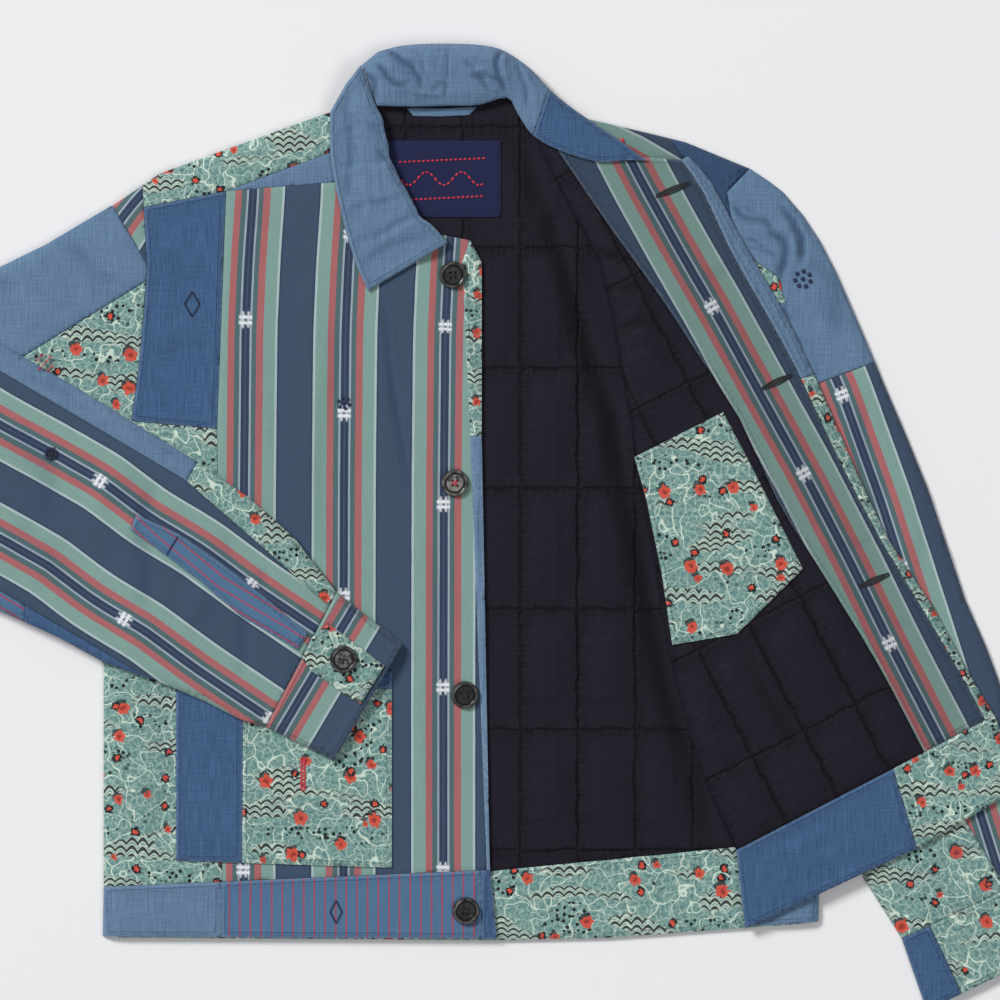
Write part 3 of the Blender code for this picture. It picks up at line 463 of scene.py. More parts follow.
# node, then creases: points on the plan, half-width, and height in mm
CREASES = {
    "back_lining": (
        # the first crease follows the opened front's fold; its painted crease shade stands for the fold's
        # shadow on the lining
        (500, 110, 566, 302, 610, 418, 638, 540, 668, 698, 712, 860, 11, -1.8),
        (470, 560, 500, 800, 8, 0.5), (540, 200, 565, 330, 7, 0.6), (600, 560, 630, 760, 8, 0.5),
    ),
    "left_front_lining": (
        (560, 250, 640, 262, 5, -0.9), (575, 290, 650, 300, 5, 0.8), (590, 330, 664, 322, 6, -0.9),
        (604, 372, 668, 350, 5, 0.7), (655, 640, 700, 760, 8, 0.6), (740, 640, 800, 760, 7, -0.6),
        (690, 700, 760, 840, 6, 0.6),
    ),
    "collar_back": (
        (366, 70, 372, 82, 378, 100, 4, -1.8), (374, 64, 388, 77, 400, 85, 409, 88, 3, -2.2),
        (382, 50, 400, 57, 413, 67, 418, 79, 421, 94, 3, -2.4), (386, 66, 402, 74, 410, 82, 3.5, 1.6),
        (404, 54, 418, 64, 424, 78, 4, 1.3), (448, 44, 447, 74, 446, 104, 1.8, -1.4),
        (428, 92, 442, 86, 452, 88, 3, -0.9), (462, 60, 473, 70, 484, 80, 489, 94, 3, -1.6),
        (466, 74, 484, 78, 503, 80, 2.6, -1.5), (470, 66, 488, 72, 3.5, 1.2),
        (502, 46, 498, 62, 498, 78, 506, 96, 3, -2.6), (508, 50, 505, 66, 506, 82, 3.5, 1.5),
        (516, 58, 522, 80, 530, 110, 3, -1.2), (528, 66, 532, 90, 540, 112, 4, 0.9),
        (425, 50, 430, 66, 436, 80, 5, 0.8), (392, 92, 420, 97, 444, 98, 3, -0.8),
    ),
    "collar_leaf": (
        (347, 96, 352, 200, 4, -1.0), (362, 104, 369, 226, 4, 0.9), (374, 120, 388, 214, 4, -0.9),
        (378, 148, 408, 190, 3, -1.4), (392, 178, 424, 208, 3, -1.2), (384, 166, 414, 198, 3, 0.9),
        (360, 262, 436, 228, 5, -0.8), (372, 246, 436, 214, 4, 0.7), (336, 178, 402, 160, 4, 0.6),
        (342, 214, 410, 192, 4, -0.7), (334, 132, 384, 126, 4, -0.6), (350, 246, 420, 214, 4, -0.6),
    ),
    "front_main_stripe": (
        (382, 296, 408, 500, 2.6, -1.5), (374, 300, 396, 490, 7, 0.6), (262, 240, 256, 600, 12, 0.5),
        (330, 300, 322, 560, 10, -0.5), (430, 520, 440, 860, 8, -0.5), (360, 520, 352, 660, 8, 0.4),
        (240, 230, 300, 262, 9, 0.4), (300, 640, 250, 660, 8, -0.4),
    ),
    "front_chest_patch": (
        (150, 300, 215, 290, 8, 0.4), (145, 352, 215, 345, 9, -0.5), (165, 220, 158, 400, 8, 0.4),
    ),
    "front_side_print": ((118, 690, 160, 780, 8, 0.5), (170, 660, 150, 860, 9, -0.5)),
    "right_sleeve_cap": (
        (60, 240, 120, 285, 8, -0.7), (10, 296, 70, 328, 10, 0.7), (0, 262, 40, 340, 9, -0.5),
        (90, 230, 138, 262, 5, 0.5),
    ),
    "right_sleeve_gusset": ((60, 350, 130, 310, 7, 0.6), (90, 390, 140, 330, 6, -0.6)),
    "forearm_main_stripe": (
        (20, 420, 60, 520, 14, -0.7), (110, 450, 90, 560, 12, 0.8), (150, 480, 140, 610, 10, -0.9),
        (215, 520, 190, 640, 10, 0.9), (262, 560, 235, 680, 8, -0.8), (300, 590, 280, 700, 7, 0.6),
        (0, 520, 40, 600, 12, 0.7), (60, 470, 180, 545, 9, 0.5),
    ),
    "forearm_strip_blue": ((20, 368, 100, 415, 4, -0.5), (90, 420, 190, 470, 4, 0.5)),
    "left_sleeve_cap": (
        (728, 203, 748, 218, 762, 222, 776, 232, 3, -1.5), (736, 203, 757, 215, 778, 224, 2.6, -1.0),
        (744, 237, 762, 247, 780, 258, 2.4, -1.3), (748, 245, 766, 254, 2, -0.9),
        (768, 226, 782, 240, 785, 254, 783, 268, 781, 286, 5, -2.2),
        (778, 206, 796, 221, 802, 236, 801, 252, 797, 268, 4, -2.0),
        (786, 222, 793, 240, 792, 262, 4, 1.6), (800, 296, 838, 356, 8, 0.9),
        (812, 250, 850, 330, 9, -0.8), (786, 340, 820, 370, 6, 0.8), (783, 300, 792, 322, 3, -1.2),
    ),
    "left_sleeve_stripe": (
        (860, 400, 880, 520, 8, -0.7), (900, 480, 905, 620, 8, 0.6), (930, 600, 960, 720, 9, -0.7),
        (880, 560, 930, 640, 7, 0.5), (960, 690, 985, 760, 8, 0.6),
    ),
    "left_sleeve_print": (
        (870, 842, 960, 860, 8, 0.7), (885, 885, 1000, 838, 7, -0.8), (915, 925, 1010, 880, 5, -0.6),
    ),
    "left_front_facing": (
        (690, 280, 745, 262, 6, -0.4), (740, 420, 800, 396, 7, 0.4), (820, 560, 880, 530, 6, -0.4),
        (870, 650, 930, 622, 7, 0.4),
    ),
    "left_hem_inside_blue": ((760, 860, 890, 800, 8, 0.5), (775, 890, 880, 840, 7, -0.4)),
    "pocket_print": ((262, 720, 372, 735, 10, 0.4), (256, 810, 380, 800, 10, -0.4)),
    "inner_pocket": ((650, 500, 740, 470, 9, 0.5), (668, 600, 780, 560, 9, -0.5)),
}


# pieces whose edges are folds or plain seams, without a line of stitches
PLAIN_EDGES = {
    "collar_back", "right_sleeve_cap", "right_sleeve_gusset", "forearm_strip_blue", "forearm_strip_print",
    "forearm_main_stripe", "forearm_edge_stripe", "forearm_edge_blue", "left_sleeve_cap",
    "left_sleeve_gusset", "left_sleeve_stripe", "left_sleeve_side", "left_sleeve_print",
    "left_shoulder_stripe", "left_shoulder_blue", "front_yoke", "front_wedge", "front_armhole_strip",
    "front_side_print", "front_main_stripe", "left_front_side", "back_lining", "left_front_lining",
    "hanging_loop",
}
# pieces with small folds, cut into finer squares
FINE_PIECES = {"collar_back", "collar_leaf", "left_sleeve_cap"}
# node, then places on the plan where the cloth is pulled: x, y, reach, across, down
PULLS = {
    "left_sleeve_cap": ((768, 281, 17, 10, -2),),
    "left_sleeve_gusset": ((768, 281, 17, 10, -2),),
    "collar_leaf": (
        (381, 118, 9, 2.5, 0), (392, 158, 9, -2.5, 0), (412, 188, 9, 3, -1), (424, 214, 8, -2, 2),
    ),
}


# the closed front's edge on the plan, which the narrow bands widen from
FRONT_EDGE = ((440, 107), (470, 240), (482, 262), (482, 435), (490, 865), (497, 939))
BAND_SPREAD = 1.75
BAND_LIFT = 0.0006


def undulation(spots, depth):
    """The low unevenness of cloth that lies loosely."""
    waves = [noise.noise((x * 21, y * 21, 0.3)) + 0.5 * noise.noise((x * 55, y * 55, 4.1)) for x, y in spots]
    return np.array(waves) * depth


def close_notch(bm):
    """Closes the notch below the gusset, which the band hides but for its rim."""
    rim = [(786, 303), (796.5, 303), (807.5, 342.7), (747.2, 342.7)]
    outer = bm.verts.new(on_plan(764, 303, bm.verts[:][0].co.z))
    found = [min(bm.verts, key=lambda vertex: (vertex.co.xy - on_plan(*spot).xy).length) for spot in rim]
    outer.co.z = found[0].co.z
    bmesh.ops.contextual_create(bm, geom=found + [outer])
    bmesh.ops.recalc_face_normals(bm, faces=bm.faces)
    if bm.faces[0].normal.z < 0:
        bmesh.ops.reverse_faces(bm, faces=bm.faces)


def top_sheet(node):
    """The upper face of a node, cut into small squares along the plan; bmesh."""
    bm = merged_copy(node)
    bmesh.ops.recalc_face_normals(bm, faces=bm.faces)
    bmesh.ops.delete(bm, geom=[face for face in bm.faces if face.normal.z < 0.15], context="FACES")
    if node == "left_sleeve_cap":
        close_notch(bm)
    bmesh.ops.dissolve_limit(bm, angle_limit=math.radians(0.6), verts=bm.verts, edges=bm.edges)
    bmesh.ops.inset_region(bm, faces=bm.faces, thickness=EDGE_ROUND, use_even_offset=True)
    for axis in (0, 1):
        places = [vertex.co[axis] for vertex in bm.verts]
        step = CLOTH_STEP * (0.6 if node in FINE_PIECES else 1.0)
        count = int((max(places) - min(places)) / step)
        for index in range(1, count + 1):
            spot = Vector((0, 0, 0))
            spot[axis] = min(places) + (index - 0.5) * step
            heading = Vector((axis == 0, axis == 1, 0))
            parts = bm.verts[:] + bm.edges[:] + bm.faces[:]
            bmesh.ops.bisect_plane(bm, geom=parts, dist=1e-6, plane_co=spot, plane_no=heading)
    bmesh.ops.remove_doubles(bm, verts=bm.verts, dist=0.00022)
    bmesh.ops.triangulate(bm, faces=[face for face in bm.faces if len(face.verts) > 4])
    inner = [vertex for vertex in bm.verts if not vertex.is_boundary]
    for _ in range(6):
        bmesh.ops.smooth_vert(bm, verts=inner, factor=0.5, use_axis_z=True)
    return bm


def smooth_but(mesh, degrees):
    """Shades a mesh smooth but for edges sharper than an angle."""
    for polygon in mesh.polygons:
        polygon.use_smooth = True
    mesh.set_sharp_from_angle(angle=math.radians(degrees))


def cloth_piece(node, slot, mat, wall=SINGLE_WALL, guide=UPRIGHT, grain_at=(0.0, 0.0),
                waves=0.0003, rests_on="back_shell", swell=None, declare=True):
    """A cut piece of cloth: a thin wall on its node's form, with rounded edges and creases."""
    bm = top_sheet(node)
    for x, y, reach, across, down in PULLS.get(node, ()):
        for vertex in bm.verts:
            near = math.exp(-((vertex.co.xy - on_plan(x, y).xy).length / (reach * PLAN_UNIT)) ** 2)
            vertex.co += Vector((across, -down, 0)) * PLAN_UNIT * near
    if node in ("front_band_blue", "front_band_print"):
        edge_line = np.array([on_plan(*point)[:2] for point in FRONT_EDGE])[::-1]
        for vertex in bm.verts:
            edge_x = np.interp(vertex.co.y, edge_line[:, 1], edge_line[:, 0])
            vertex.co.x = edge_x - (edge_x - vertex.co.x) * BAND_SPREAD
            vertex.co.z += BAND_LIFT
    spots = np.array([vertex.co[:2] for vertex in bm.verts])
    height = np.array([vertex.co.z for vertex in bm.verts])
    edge_points = [vertex.co for vertex in bm.verts if vertex.is_boundary]
    tree = KDTree(len(edge_points))
    for index, point in enumerate(edge_points):
        tree.insert((point.x, point.y, 0), index)
    tree.balance()
    inside = np.array([tree.find((x, y, 0))[2] for x, y in spots])
    rounding = np.clip(1 - inside / (2.4 * EDGE_ROUND), 0, 1) ** 2
    relief = crease_height(spots, CREASES.get(node, ()))
    # how deep each point lies in a crease, kept as the strength of the painted shade there
    painted_crease_shade = np.clip(-relief / DEEP_CREASE, 0, 1)
    relief = relief + undulation(spots, waves)
    if swell:
        relief = relief + swell(node, spots, height)
    relief *= np.clip(inside / CALM_EDGE, 0.25, 1)
    top = np.maximum(height + relief - EDGE_DIP * rounding, height - wall * 0.75)
    number = bm.verts.layers.int.new("spot")
    for index, vertex in enumerate(bm.verts):
        vertex[number] = index
    raised = bmesh.ops.extrude_face_region(bm, geom=bm.faces[:], use_keep_orig=True)
    for vertex in bm.verts:
        vertex.co.z = max(height[vertex[number]] - wall, ABOVE_TABLE)
    for part in raised["geom"]:
        if isinstance(part, bmesh.types.BMVert):
            part.co.z = top[part[number]]
    bmesh.ops.recalc_face_normals(bm, faces=bm.faces)
    surfaces[node] = BVHTree.FromBMesh(bm)
    made = object_from("cloth_" + node, bm, mat)
    smooth_but(made.data, 60)
    number = np.array([value.value for value in made.data.attributes["spot"].data])
    made.data.attributes.remove(made.data.attributes["spot"])
    from_seam = inside + (PAST_SEAM if node in PLAIN_EDGES else 0.0)
    for name, values in (("painted_crease_shade", painted_crease_shade), ("edge", from_seam)):
        made.data.attributes.new(name, "FLOAT", "POINT").data.foreach_set("value", values[number])
    lay_grain(made.data, guide, *grain_at)
    finish_piece(made, slot, node)
    if declare:
        lay_sheet(made)
    return made


def quilted(corner, heading):
    """A swell for cloth_piece: wadding between stitched lines, no higher than the node's own form."""
    corner = np.array(on_plan(*corner)[:2])
    down = np.array((heading[0], -heading[1]))
    side = np.array((-down[1], down[0]))

    def puff(spots):
        across = np.abs(np.sin(math.pi * ((spots - corner) @ side) / QUILT_COLUMN))
        along = np.abs(np.sin(math.pi * ((spots - corner) @ down) / QUILT_ROW))
        crinkle = np.array([noise.noise((x * 90, y * 160, 2.0)) for x, y in spots])
        line = np.minimum(across, along * QUILT_ROW / QUILT_COLUMN)
        return (across * along) ** 0.42 * (1 + 0.16 * crinkle) + 0.12 * crinkle * np.exp(-line * 5)

    def swell(node, spots, height):
        solid = BVHTree.FromBMesh(merged_copy(node))
        below = []
        for (x, y), own in zip(spots, height):
            hit = solid.ray_cast(Vector((x, y, -0.01)), Vector((0, 0, 1)))[0]
            below.append(hit.z if hit and hit.z < own - 0.9 * LINING_WALL else own - LINING_WALL)
        flat = np.array(below) + LINING_WALL
        room = np.maximum(height - flat, 0) + 0.0001
        return np.minimum(puff(spots) * PUFF, room) - (height - flat)

    return swell


quilting, quilting_in, quilting_out = node_group(
    "quilt_stitching",
    (("Vector", "NodeSocketVector"),),
    (("Shade", "NodeSocketFloat"), ("Height", "NodeSocketFloat")),
)
quilt_spot = quilting_in.outputs["Vector"]
quilt_place = axes(quilt_spot)
wander = streaks(quilt_spot, (70, 70, 0), 1.0)
WANDER = 0.005
# coordinate, spacing of the lines, how its puckers are drawn out
QUILT_LINES = (
    ("X", QUILT_COLUMN, (45, 260, 0)),
    ("Y", QUILT_ROW, (260, 45, 0)),
)
thread_line = 0.0
pucker = 0.0
sunk = 0.0
for axis, spacing, pucker_scale in QUILT_LINES:
    strayed = calc("MULTIPLY_ADD", wander, WANDER, quilt_place[axis])
    part = calc("FRACT", calc("MULTIPLY_ADD", strayed, 1 / spacing, 0.5 - WANDER / 2 / spacing))
    off_line = times(apart(part, 0.5), spacing)
    on_thread = held(off_line, -1 / 0.0022, 1.0)
    thread_line = calc("MAXIMUM", thread_line, on_thread)
    near = held(off_line, -1 / 0.016, 1.0)
    gathered = streaks(quilt_spot, pucker_scale)
    near = times(near, near)
    pucker = calc("MULTIPLY_ADD", gathered, near, pucker)
    # painted shade in the soft valleys along the quilting lines
    sunk = calc("MAXIMUM", sunk, times(near, gathered))
wrinkle = apart(streaks(quilt_spot, (55, 80, 0), 3.0), 0.5)
wrinkle = calc("SMOOTH_MIN", wrinkle, 0.1, 0.1)
relief = calc("MULTIPLY_ADD", wrinkle, 1.8, times(pucker, 1.5))
relief = calc("MULTIPLY_ADD", thread_line, -0.9, relief)
# the Shade put out: the dark thread of the lines, with the painted shade of the valleys
soft_line = held(thread_line, 0.45, times(sunk, 0.6))
feed(quilting_out, Shade=soft_line, Height=relief)

lining_cloth, lining_shader, lining_bump = cloth_shader("black_quilted_lining", 0.72, 0.05, 0.0014, 0.16)
lining_shader.inputs["Sheen Tint"].default_value = linear(110, 112, 160)
lining_bump.inputs["Strength"].default_value = 1.0
drawn_lines = pattern_at(quilting, grain(lining_cloth))
# the lining darkens with the thread and with the painted valley shade
lining_colour = blend(times(drawn_lines["Shade"], 0.85), linear(25, 22, 33), linear(6, 5, 9))
# the lining's painted crease shade goes almost to black
dress(lining_shader, lining_bump, lining_colour, drawn_lines["Height"], 1.0, linear(3, 3, 5))

# node, where a line of quilting starts and which way it runs, what the lining lies
# on, its warp thread, and how far along the cloth that starts
LININGS = (
    ("back_lining", (463.5, 127), (0, 1), "back_shell", ((463.5, 127), (463.5, 900)), 0.0),
    ("left_front_lining", (698, 650), (0.46, 0.888), "left_front_shell",
     ((468, 206), (698, 650), (790, 828)), -500.0),
)
for node, corner, heading, support, guide, along in LININGS:
    cloth_piece(node, "black_quilted_lining", lining_cloth, LINING_SHEET, guide, (0.0, along), 0.0, support,
                quilted(corner, heading))


# Neck label and hanging loop: a dark woven rectangle sewn on below the neck, and a
# short loop of chambray over the neck seam.
LABEL_WALL = 0.0011
LOOP_WALL = 0.0012
label_cloth, label_shader, label_bump = cloth_shader("label_cloth", 0.85, 0.1, 0.0002)
label_weave = woven(grain(label_cloth), 0.2)
label_depth = held(label_weave["Shade"], 2.0, -1.4)
label_colour = blend(label_depth, linear(20, 25, 58), linear(32, 38, 74))
dress(label_shader, label_bump, label_colour, label_weave["Height"])
cloth_piece("neck_label", "label_cloth", label_cloth, LABEL_WALL, rests_on="back_lining", waves=0.0002)
hanging_loop = cloth_piece("hanging_loop", "light_blue_chambray", light_blue_cloth, LOOP_WALL, waves=0.0,
                           declare=False)
# the loop's middle and top edge on the plan, its depth there, how much narrower its
# foot is, and how far its top and its foot are drawn up
LOOP_MIDDLE = on_plan(441, 109.5)
LOOP_DEPTH = 6
LOOP_TAPER = 0.2
LOOP_TOP_UP = 2.8 * PLAN_UNIT
LOOP_FOOT_UP = 1.2 * PLAN_UNIT
for vertex in hanging_loop.data.vertices:
    down_loop = min(max((LOOP_MIDDLE.y - vertex.co.y) / PLAN_UNIT / LOOP_DEPTH, 0), 1)
    vertex.co.x += (LOOP_MIDDLE.x - vertex.co.x) * LOOP_TAPER * down_loop
    vertex.co.y += LOOP_TOP_UP * (1 - down_loop) + LOOP_FOOT_UP * down_loop
lay_sheet(hanging_loop)


# Striped handloom pieces: the front's main part, the armhole strip, forearm, cuff,
# shoulder, sleeve and opened front's facing. One yarn-dyed cotton whose stripes repeat
# every 80 mm, with small tied-and-dyed white marks along its narrow navy stripe.
# stripe, width in plan units, colour
STRIPES = (
    ("line", 2.2, (168, 186, 188)),
    ("navy_edge", 1.6, (50, 66, 86)),
    ("navy", 32.8, (61, 79, 101)),
    ("navy_edge", 1.6, (50, 66, 86)),
    ("line", 2.3, (168, 186, 188)),
    ("green", 11.8, (126, 158, 150)),
    ("red", 7.0, (167, 101, 103)),
    ("dark_green", 4.9, (80, 105, 108)),
    ("line", 2.0, (150, 165, 176)),
    ("narrow_navy", 3.4, (50, 63, 88)),
    ("navy_middle", 1.2, (68, 84, 106)),
    ("narrow_navy", 3.4, (50, 63, 88)),
    ("line", 2.0, (150, 165, 176)),
    ("dark_green", 4.9, (80, 105, 108)),
    ("red", 7.0, (167, 101, 103)),
    ("green", 11.8, (126, 158, 150)),
)
STRIPE_REPEAT = sum(stripe[1] for stripe in STRIPES) * PLAN_UNIT
TIED_CENTRE = 70.0 * PLAN_UNIT
TIED_REPEAT = 183 * PLAN_UNIT
TIED_WHITE = linear(228, 232, 236)
FACE_WALL = 0.0026


def pattern_group(name):
    """A group that draws a cloth's colour and height at a place."""
    return node_group(name, (("Vector", "NodeSocketVector"),),
                      (("Color", "NodeSocketColor"), ("Height", "NodeSocketFloat")))


def shaded(colour, shade):
    """A colour darkened by a shade."""
    grey = add(shade.id_data, "ShaderNodeCombineColor", {0: shade, 1: shade, 2: shade}).outputs[0]
    return blend(1.0, colour, grey, "MULTIPLY")


handloom, handloom_in, handloom_out = pattern_group("handloom_stripes")
yarn_spot = handloom_in.outputs["Vector"]
cloth_place = axes(yarn_spot)
across = calc("MULTIPLY_ADD", streaks(yarn_spot, (900, 60, 0), 1.0), 0.0004, cloth_place["X"])
across = calc("SUBTRACT", across, 0.0002)
repeats = calc("DIVIDE", across, STRIPE_REPEAT)
column = calc("FLOOR", repeats)
within = calc("SUBTRACT", repeats, column)
ramp = add(handloom, "ShaderNodeValToRGB", {"Fac": within})
ramp.color_ramp.interpolation = "CONSTANT"
stripe_start = 0.0
for index, (_, stripe_width, stripe_colour) in enumerate(STRIPES):
    stop = ramp.color_ramp.elements[0] if index == 0 else ramp.color_ramp.elements.new(stripe_start)
    stop.position = stripe_start
    stop.color = linear(*stripe_colour)
    stripe_start += stripe_width * PLAN_UNIT / STRIPE_REPEAT
ramp.color_ramp.elements[len(STRIPES)].position = 1.0
from_line = calc("ABSOLUTE", calc("MULTIPLY_ADD", within, STRIPE_REPEAT, -TIED_CENTRE))
drop = times(calc("MODULO", calc("ABSOLUTE", column), 2.0), 0.5)
along_cloth = calc("MULTIPLY_ADD", streaks(yarn_spot, (1500, 250, 0), 1.0), 0.004, cloth_place["Y"])
along_cloth = calc("ADD", calc("DIVIDE", along_cloth, TIED_REPEAT), drop)
from_mark = apart(calc("FRACT", along_cloth), 0.5)
from_mark = times(from_mark, TIED_REPEAT)
# which way the two bars of a mark run, half their width and length in plan units, strength
TIED_BARS = (
    (from_mark, from_line, 1.6, 7.4, 1.0),
    (from_line, from_mark, 1.1, 8.6, 0.72),
)
tied = 0.0
for across_mark, along_mark, half_width, half_length, strength in TIED_BARS:
    off_bar = apart(across_mark, 2.7 * PLAN_UNIT)
    on_bar = held(off_bar, -1.1 / (half_width * PLAN_UNIT), 1.6)
    in_length = held(along_mark, -0.6 / PLAN_UNIT, 0.6 * half_length)
    bar = times(times(on_bar, in_length), strength)
    tied = calc("MAXIMUM", tied, bar)
striped = blend(tied, ramp.outputs["Color"], TIED_WHITE)
handloom_weave = woven(yarn_spot, 0.3)
yarn_depth = held(handloom_weave["Shade"], 2.0, -1.4)
striped = shaded(striped, calc("MULTIPLY_ADD", yarn_depth, 0.3, 0.78))
feed(handloom_out, Color=striped, Height=handloom_weave["Height"])


def patterned(name, pattern, darker=0.0):
    """A cloth whose colour and height come from a pattern group, blended towards black by darker as painted
    shade.
    """
    mat, shader, bump = cloth_shader(name)
    drawn = pattern_at(pattern, grain(mat))
    sewn(shader, bump, grain(mat), blend(darker, drawn["Color"], (0.0, 0.0, 0.0, 1.0)), drawn["Height"])
    return mat


def cloth_pieces(slot, mat, rows, others=()):
    """Cloth pieces from rows of node, wall, what it lies on and, for some, warp thread and its place."""
    for node, wall, support, *laid in rows:
        cloth_piece(node, slot, dict(others).get(node, mat), wall, *laid, rests_on=support)


striped_cloth = patterned("striped_handloom", handloom)
# a copy of the stripes with painted shade, for the opened front's facing and the shoulder stripe beside it,
# which lie in shade
shaded_facing_cloth = patterned("striped_facing_shaded", handloom, 0.25)

# warp threads on the plan
FRONT_STRIPE = ((285, 150), (285, 190), (280, 260), (277, 330), (275.5, 480), (275, 700), (275, 900))
FOREARM_STRIPE = ((-80, 376), (0, 425), (52, 453), (103, 482), (149, 517), (201, 548), (255, 588), (316, 629),
                  (390, 680))
ARMHOLE_STRIPE = ((103, 255), (112, 234), (123, 217), (134, 203), (143, 193), (150, 186))
CUFF_STRIPE = ((283, 728), (349, 617), (375, 573))
FACING_STRIPE = ((607, 115), (640, 180), (681, 254), (713, 309), (765, 404), (806, 478), (850, 563),
                 (891, 647), (960, 780))
SHOULDER_STRIPE = ((618, 127), (643, 139), (677, 159), (720, 190))
SLEEVE_STRIPE = ((820, 340), (843, 397), (880, 500), (925, 640), (985, 830))
# node, wall, what it lies on, warp thread, then where the cloth starts across and along
# and, for the facing, how far it is drawn out
STRIPED_PIECES = (
    ("front_main_stripe", FACE_WALL, "back_lining", FRONT_STRIPE, (2.0, 9.3)),
    ("front_armhole_strip", FACE_WALL, "back_lining", ARMHOLE_STRIPE, (70.0, 68.0)),
    ("forearm_main_stripe", FACE_WALL, "forearm_under", FOREARM_STRIPE, (70.0, 62.9)),
    ("right_cuff", FACE_WALL, "forearm_under", CUFF_STRIPE, (70.0, 106.5)),
    ("left_front_facing", SINGLE_WALL, "left_front_shell", FACING_STRIPE, (70.0, 62.0, 1.04)),
    ("left_sleeve_stripe", FACE_WALL, "left_sleeve_under", SLEEVE_STRIPE, (70.0, 30.0)),
    ("left_sleeve_side", FACE_WALL, "left_sleeve_under", SLEEVE_STRIPE, (70.0, 30.0)),
    ("left_shoulder_stripe", FACE_WALL, "back_shell", SHOULDER_STRIPE),
)
under_piece("left_front_shell", "striped_handloom", shaded_facing_cloth, FACING_STRIPE)
cloth_pieces("striped_handloom", striped_cloth, STRIPED_PIECES,
             {"left_front_facing": shaded_facing_cloth, "left_shoulder_stripe": shaded_facing_cloth})


# Printed cotton pieces: the yoke, side panel, bands, pocket, sleeve pieces and the
# inner pocket. A thin cotton printed with pale winding stems, scalloped waves, red
# blossoms and black seeds on aqua. The design is a plain one of its own.
printed, printed_in, printed_out = pattern_group("meadow_print")
print_place = printed_in.outputs["Vector"]
PRINT_GROUND = linear(126, 160, 152)
PRINT_GROUND_DARK = linear(90, 128, 127)
PRINT_STEM = linear(208, 224, 208)
PRINT_BLOSSOM = linear(204, 80, 62)
PRINT_HEART = linear(120, 38, 40)
PRINT_BLACK = linear(33, 38, 40)


def cells(vector, scale, randomness=1.0, **settings):
    """Scattered cells, as the outputs of their texture."""
    values = {"Vector": vector, "Scale": scale, "Randomness": randomness}
    return add(vector.id_data, "ShaderNodeTexVoronoi", values, **settings).outputs


def strayed_place(vector, scale, reach, detail=1.0):
    """The place moved about by a noise."""
    middle = vector_sum("SUBTRACT", speckle(vector, scale, detail, "Color"), (0.5, 0.5, 0.5))
    return vector_sum("MULTIPLY_ADD", middle, (reach, reach, 0), vector)


def dab(colour, mask, chosen, strength, ink):
    """Lays an ink on a colour where a mask is, in the chosen places only."""
    return blend(times(times(mask, chosen), strength), colour, ink)


ground_mix = held(speckle(print_place, 330.0, 3.0), 4.0, -1.5)
print_colour = blend(ground_mix, PRINT_GROUND_DARK, PRINT_GROUND)
# cells to a metre, half width of a line, how far it strays, strength of the pale colour
STEM_LAYERS = (
    (150.0, 0.0005, 0.010, 0.42),
    (46.0, 0.0008, 0.050, 0.9),
)
for stem_scale, stem_width, stray, strength in STEM_LAYERS:
    off_stem = cells(strayed_place(print_place, stem_scale, stray), stem_scale, 0.9,
                     voronoi_dimensions="2D", feature="DISTANCE_TO_EDGE")["Distance"]
    stems = held(off_stem, -1.6 / (stem_width * stem_scale), 1.6)
    print_colour = blend(times(stems, strength), print_colour, PRINT_STEM)
patches = speckle(vector_sum("MULTIPLY", print_place, (0.5, 1.7, 1)), 34.0, 0.0)
flat_place = axes(print_place)
scallop = calc("ABSOLUTE", calc("SINE", times(flat_place["X"], 350.0)))
wave_level = calc("MULTIPLY_ADD", flat_place["Y"], 185.0, times(scallop, 0.62))
wave_level = calc("MULTIPLY_ADD", speckle(print_place, 24.0, 0.0), 3.4, wave_level)
wave_line = apart(calc("FRACT", wave_level), 0.5)
in_patch = held(patches, 18.0, -10.4)
# how far off a wave's middle, width, colour and its strength
WAVES = ((0.26, 0.17, PRINT_STEM, 0.9), (0.0, 0.33, PRINT_BLACK, 0.92))
for phase, wave_width, wave_colour, strength in WAVES:
    off_wave = apart(wave_line, phase)
    on_wave = held(off_wave, -2.0 / wave_width, 2.0)
    print_colour = dab(print_colour, on_wave, in_patch, strength, wave_colour)
seeds = calc("LESS_THAN", cells(print_place, 230.0, 0.7)["Distance"], 0.36)
seed_patch = held(patches, -18.0, 7.4)
print_colour = dab(print_colour, seeds, seed_patch, 1.0, PRINT_BLACK)
wobbled = strayed_place(print_place, 380.0, 0.0062, 2.0)
BLOSSOM_CELL = 35.0
blossoms = cells(wobbled, BLOSSOM_CELL, voronoi_dimensions="2D")
from_heart = axes(vector_sum("SUBTRACT", wobbled, blossoms["Position"]))
angle = calc("ARCTAN2", from_heart["Y"], from_heart["X"])
cell_value = add(printed, "ShaderNodeSeparateColor", {0: blossoms["Color"]}).outputs
petals = calc("MULTIPLY_ADD", angle, 5.0, times(cell_value[0], 6.0))
petal_edge = calc("MULTIPLY_ADD", calc("SINE", petals), 0.012, 0.15)
petal_edge = times(petal_edge, calc("MULTIPLY_ADD", cell_value[1], 0.75, 0.55))
chosen = calc("GREATER_THAN", cell_value[2], 0.38)
# how far out, the colour there and its strength
BLOSSOM_RINGS = (
    (1.0, PRINT_BLOSSOM, 0.95),
    (0.4, PRINT_HEART, 0.7),
)
shade_cells = cells(vector_sum("ADD", wobbled, (0.0014, 0.0030, 0)), BLOSSOM_CELL, voronoi_dimensions="2D")
in_shade = calc("LESS_THAN", shade_cells["Distance"], times(petal_edge, 0.95))
print_colour = dab(print_colour, in_shade, chosen, 0.85, PRINT_BLACK)
for reach, ring_colour, strength in BLOSSOM_RINGS:
    within_ring = calc("LESS_THAN", blossoms["Distance"], times(petal_edge, reach))
    print_colour = dab(print_colour, within_ring, chosen, strength, ring_colour)
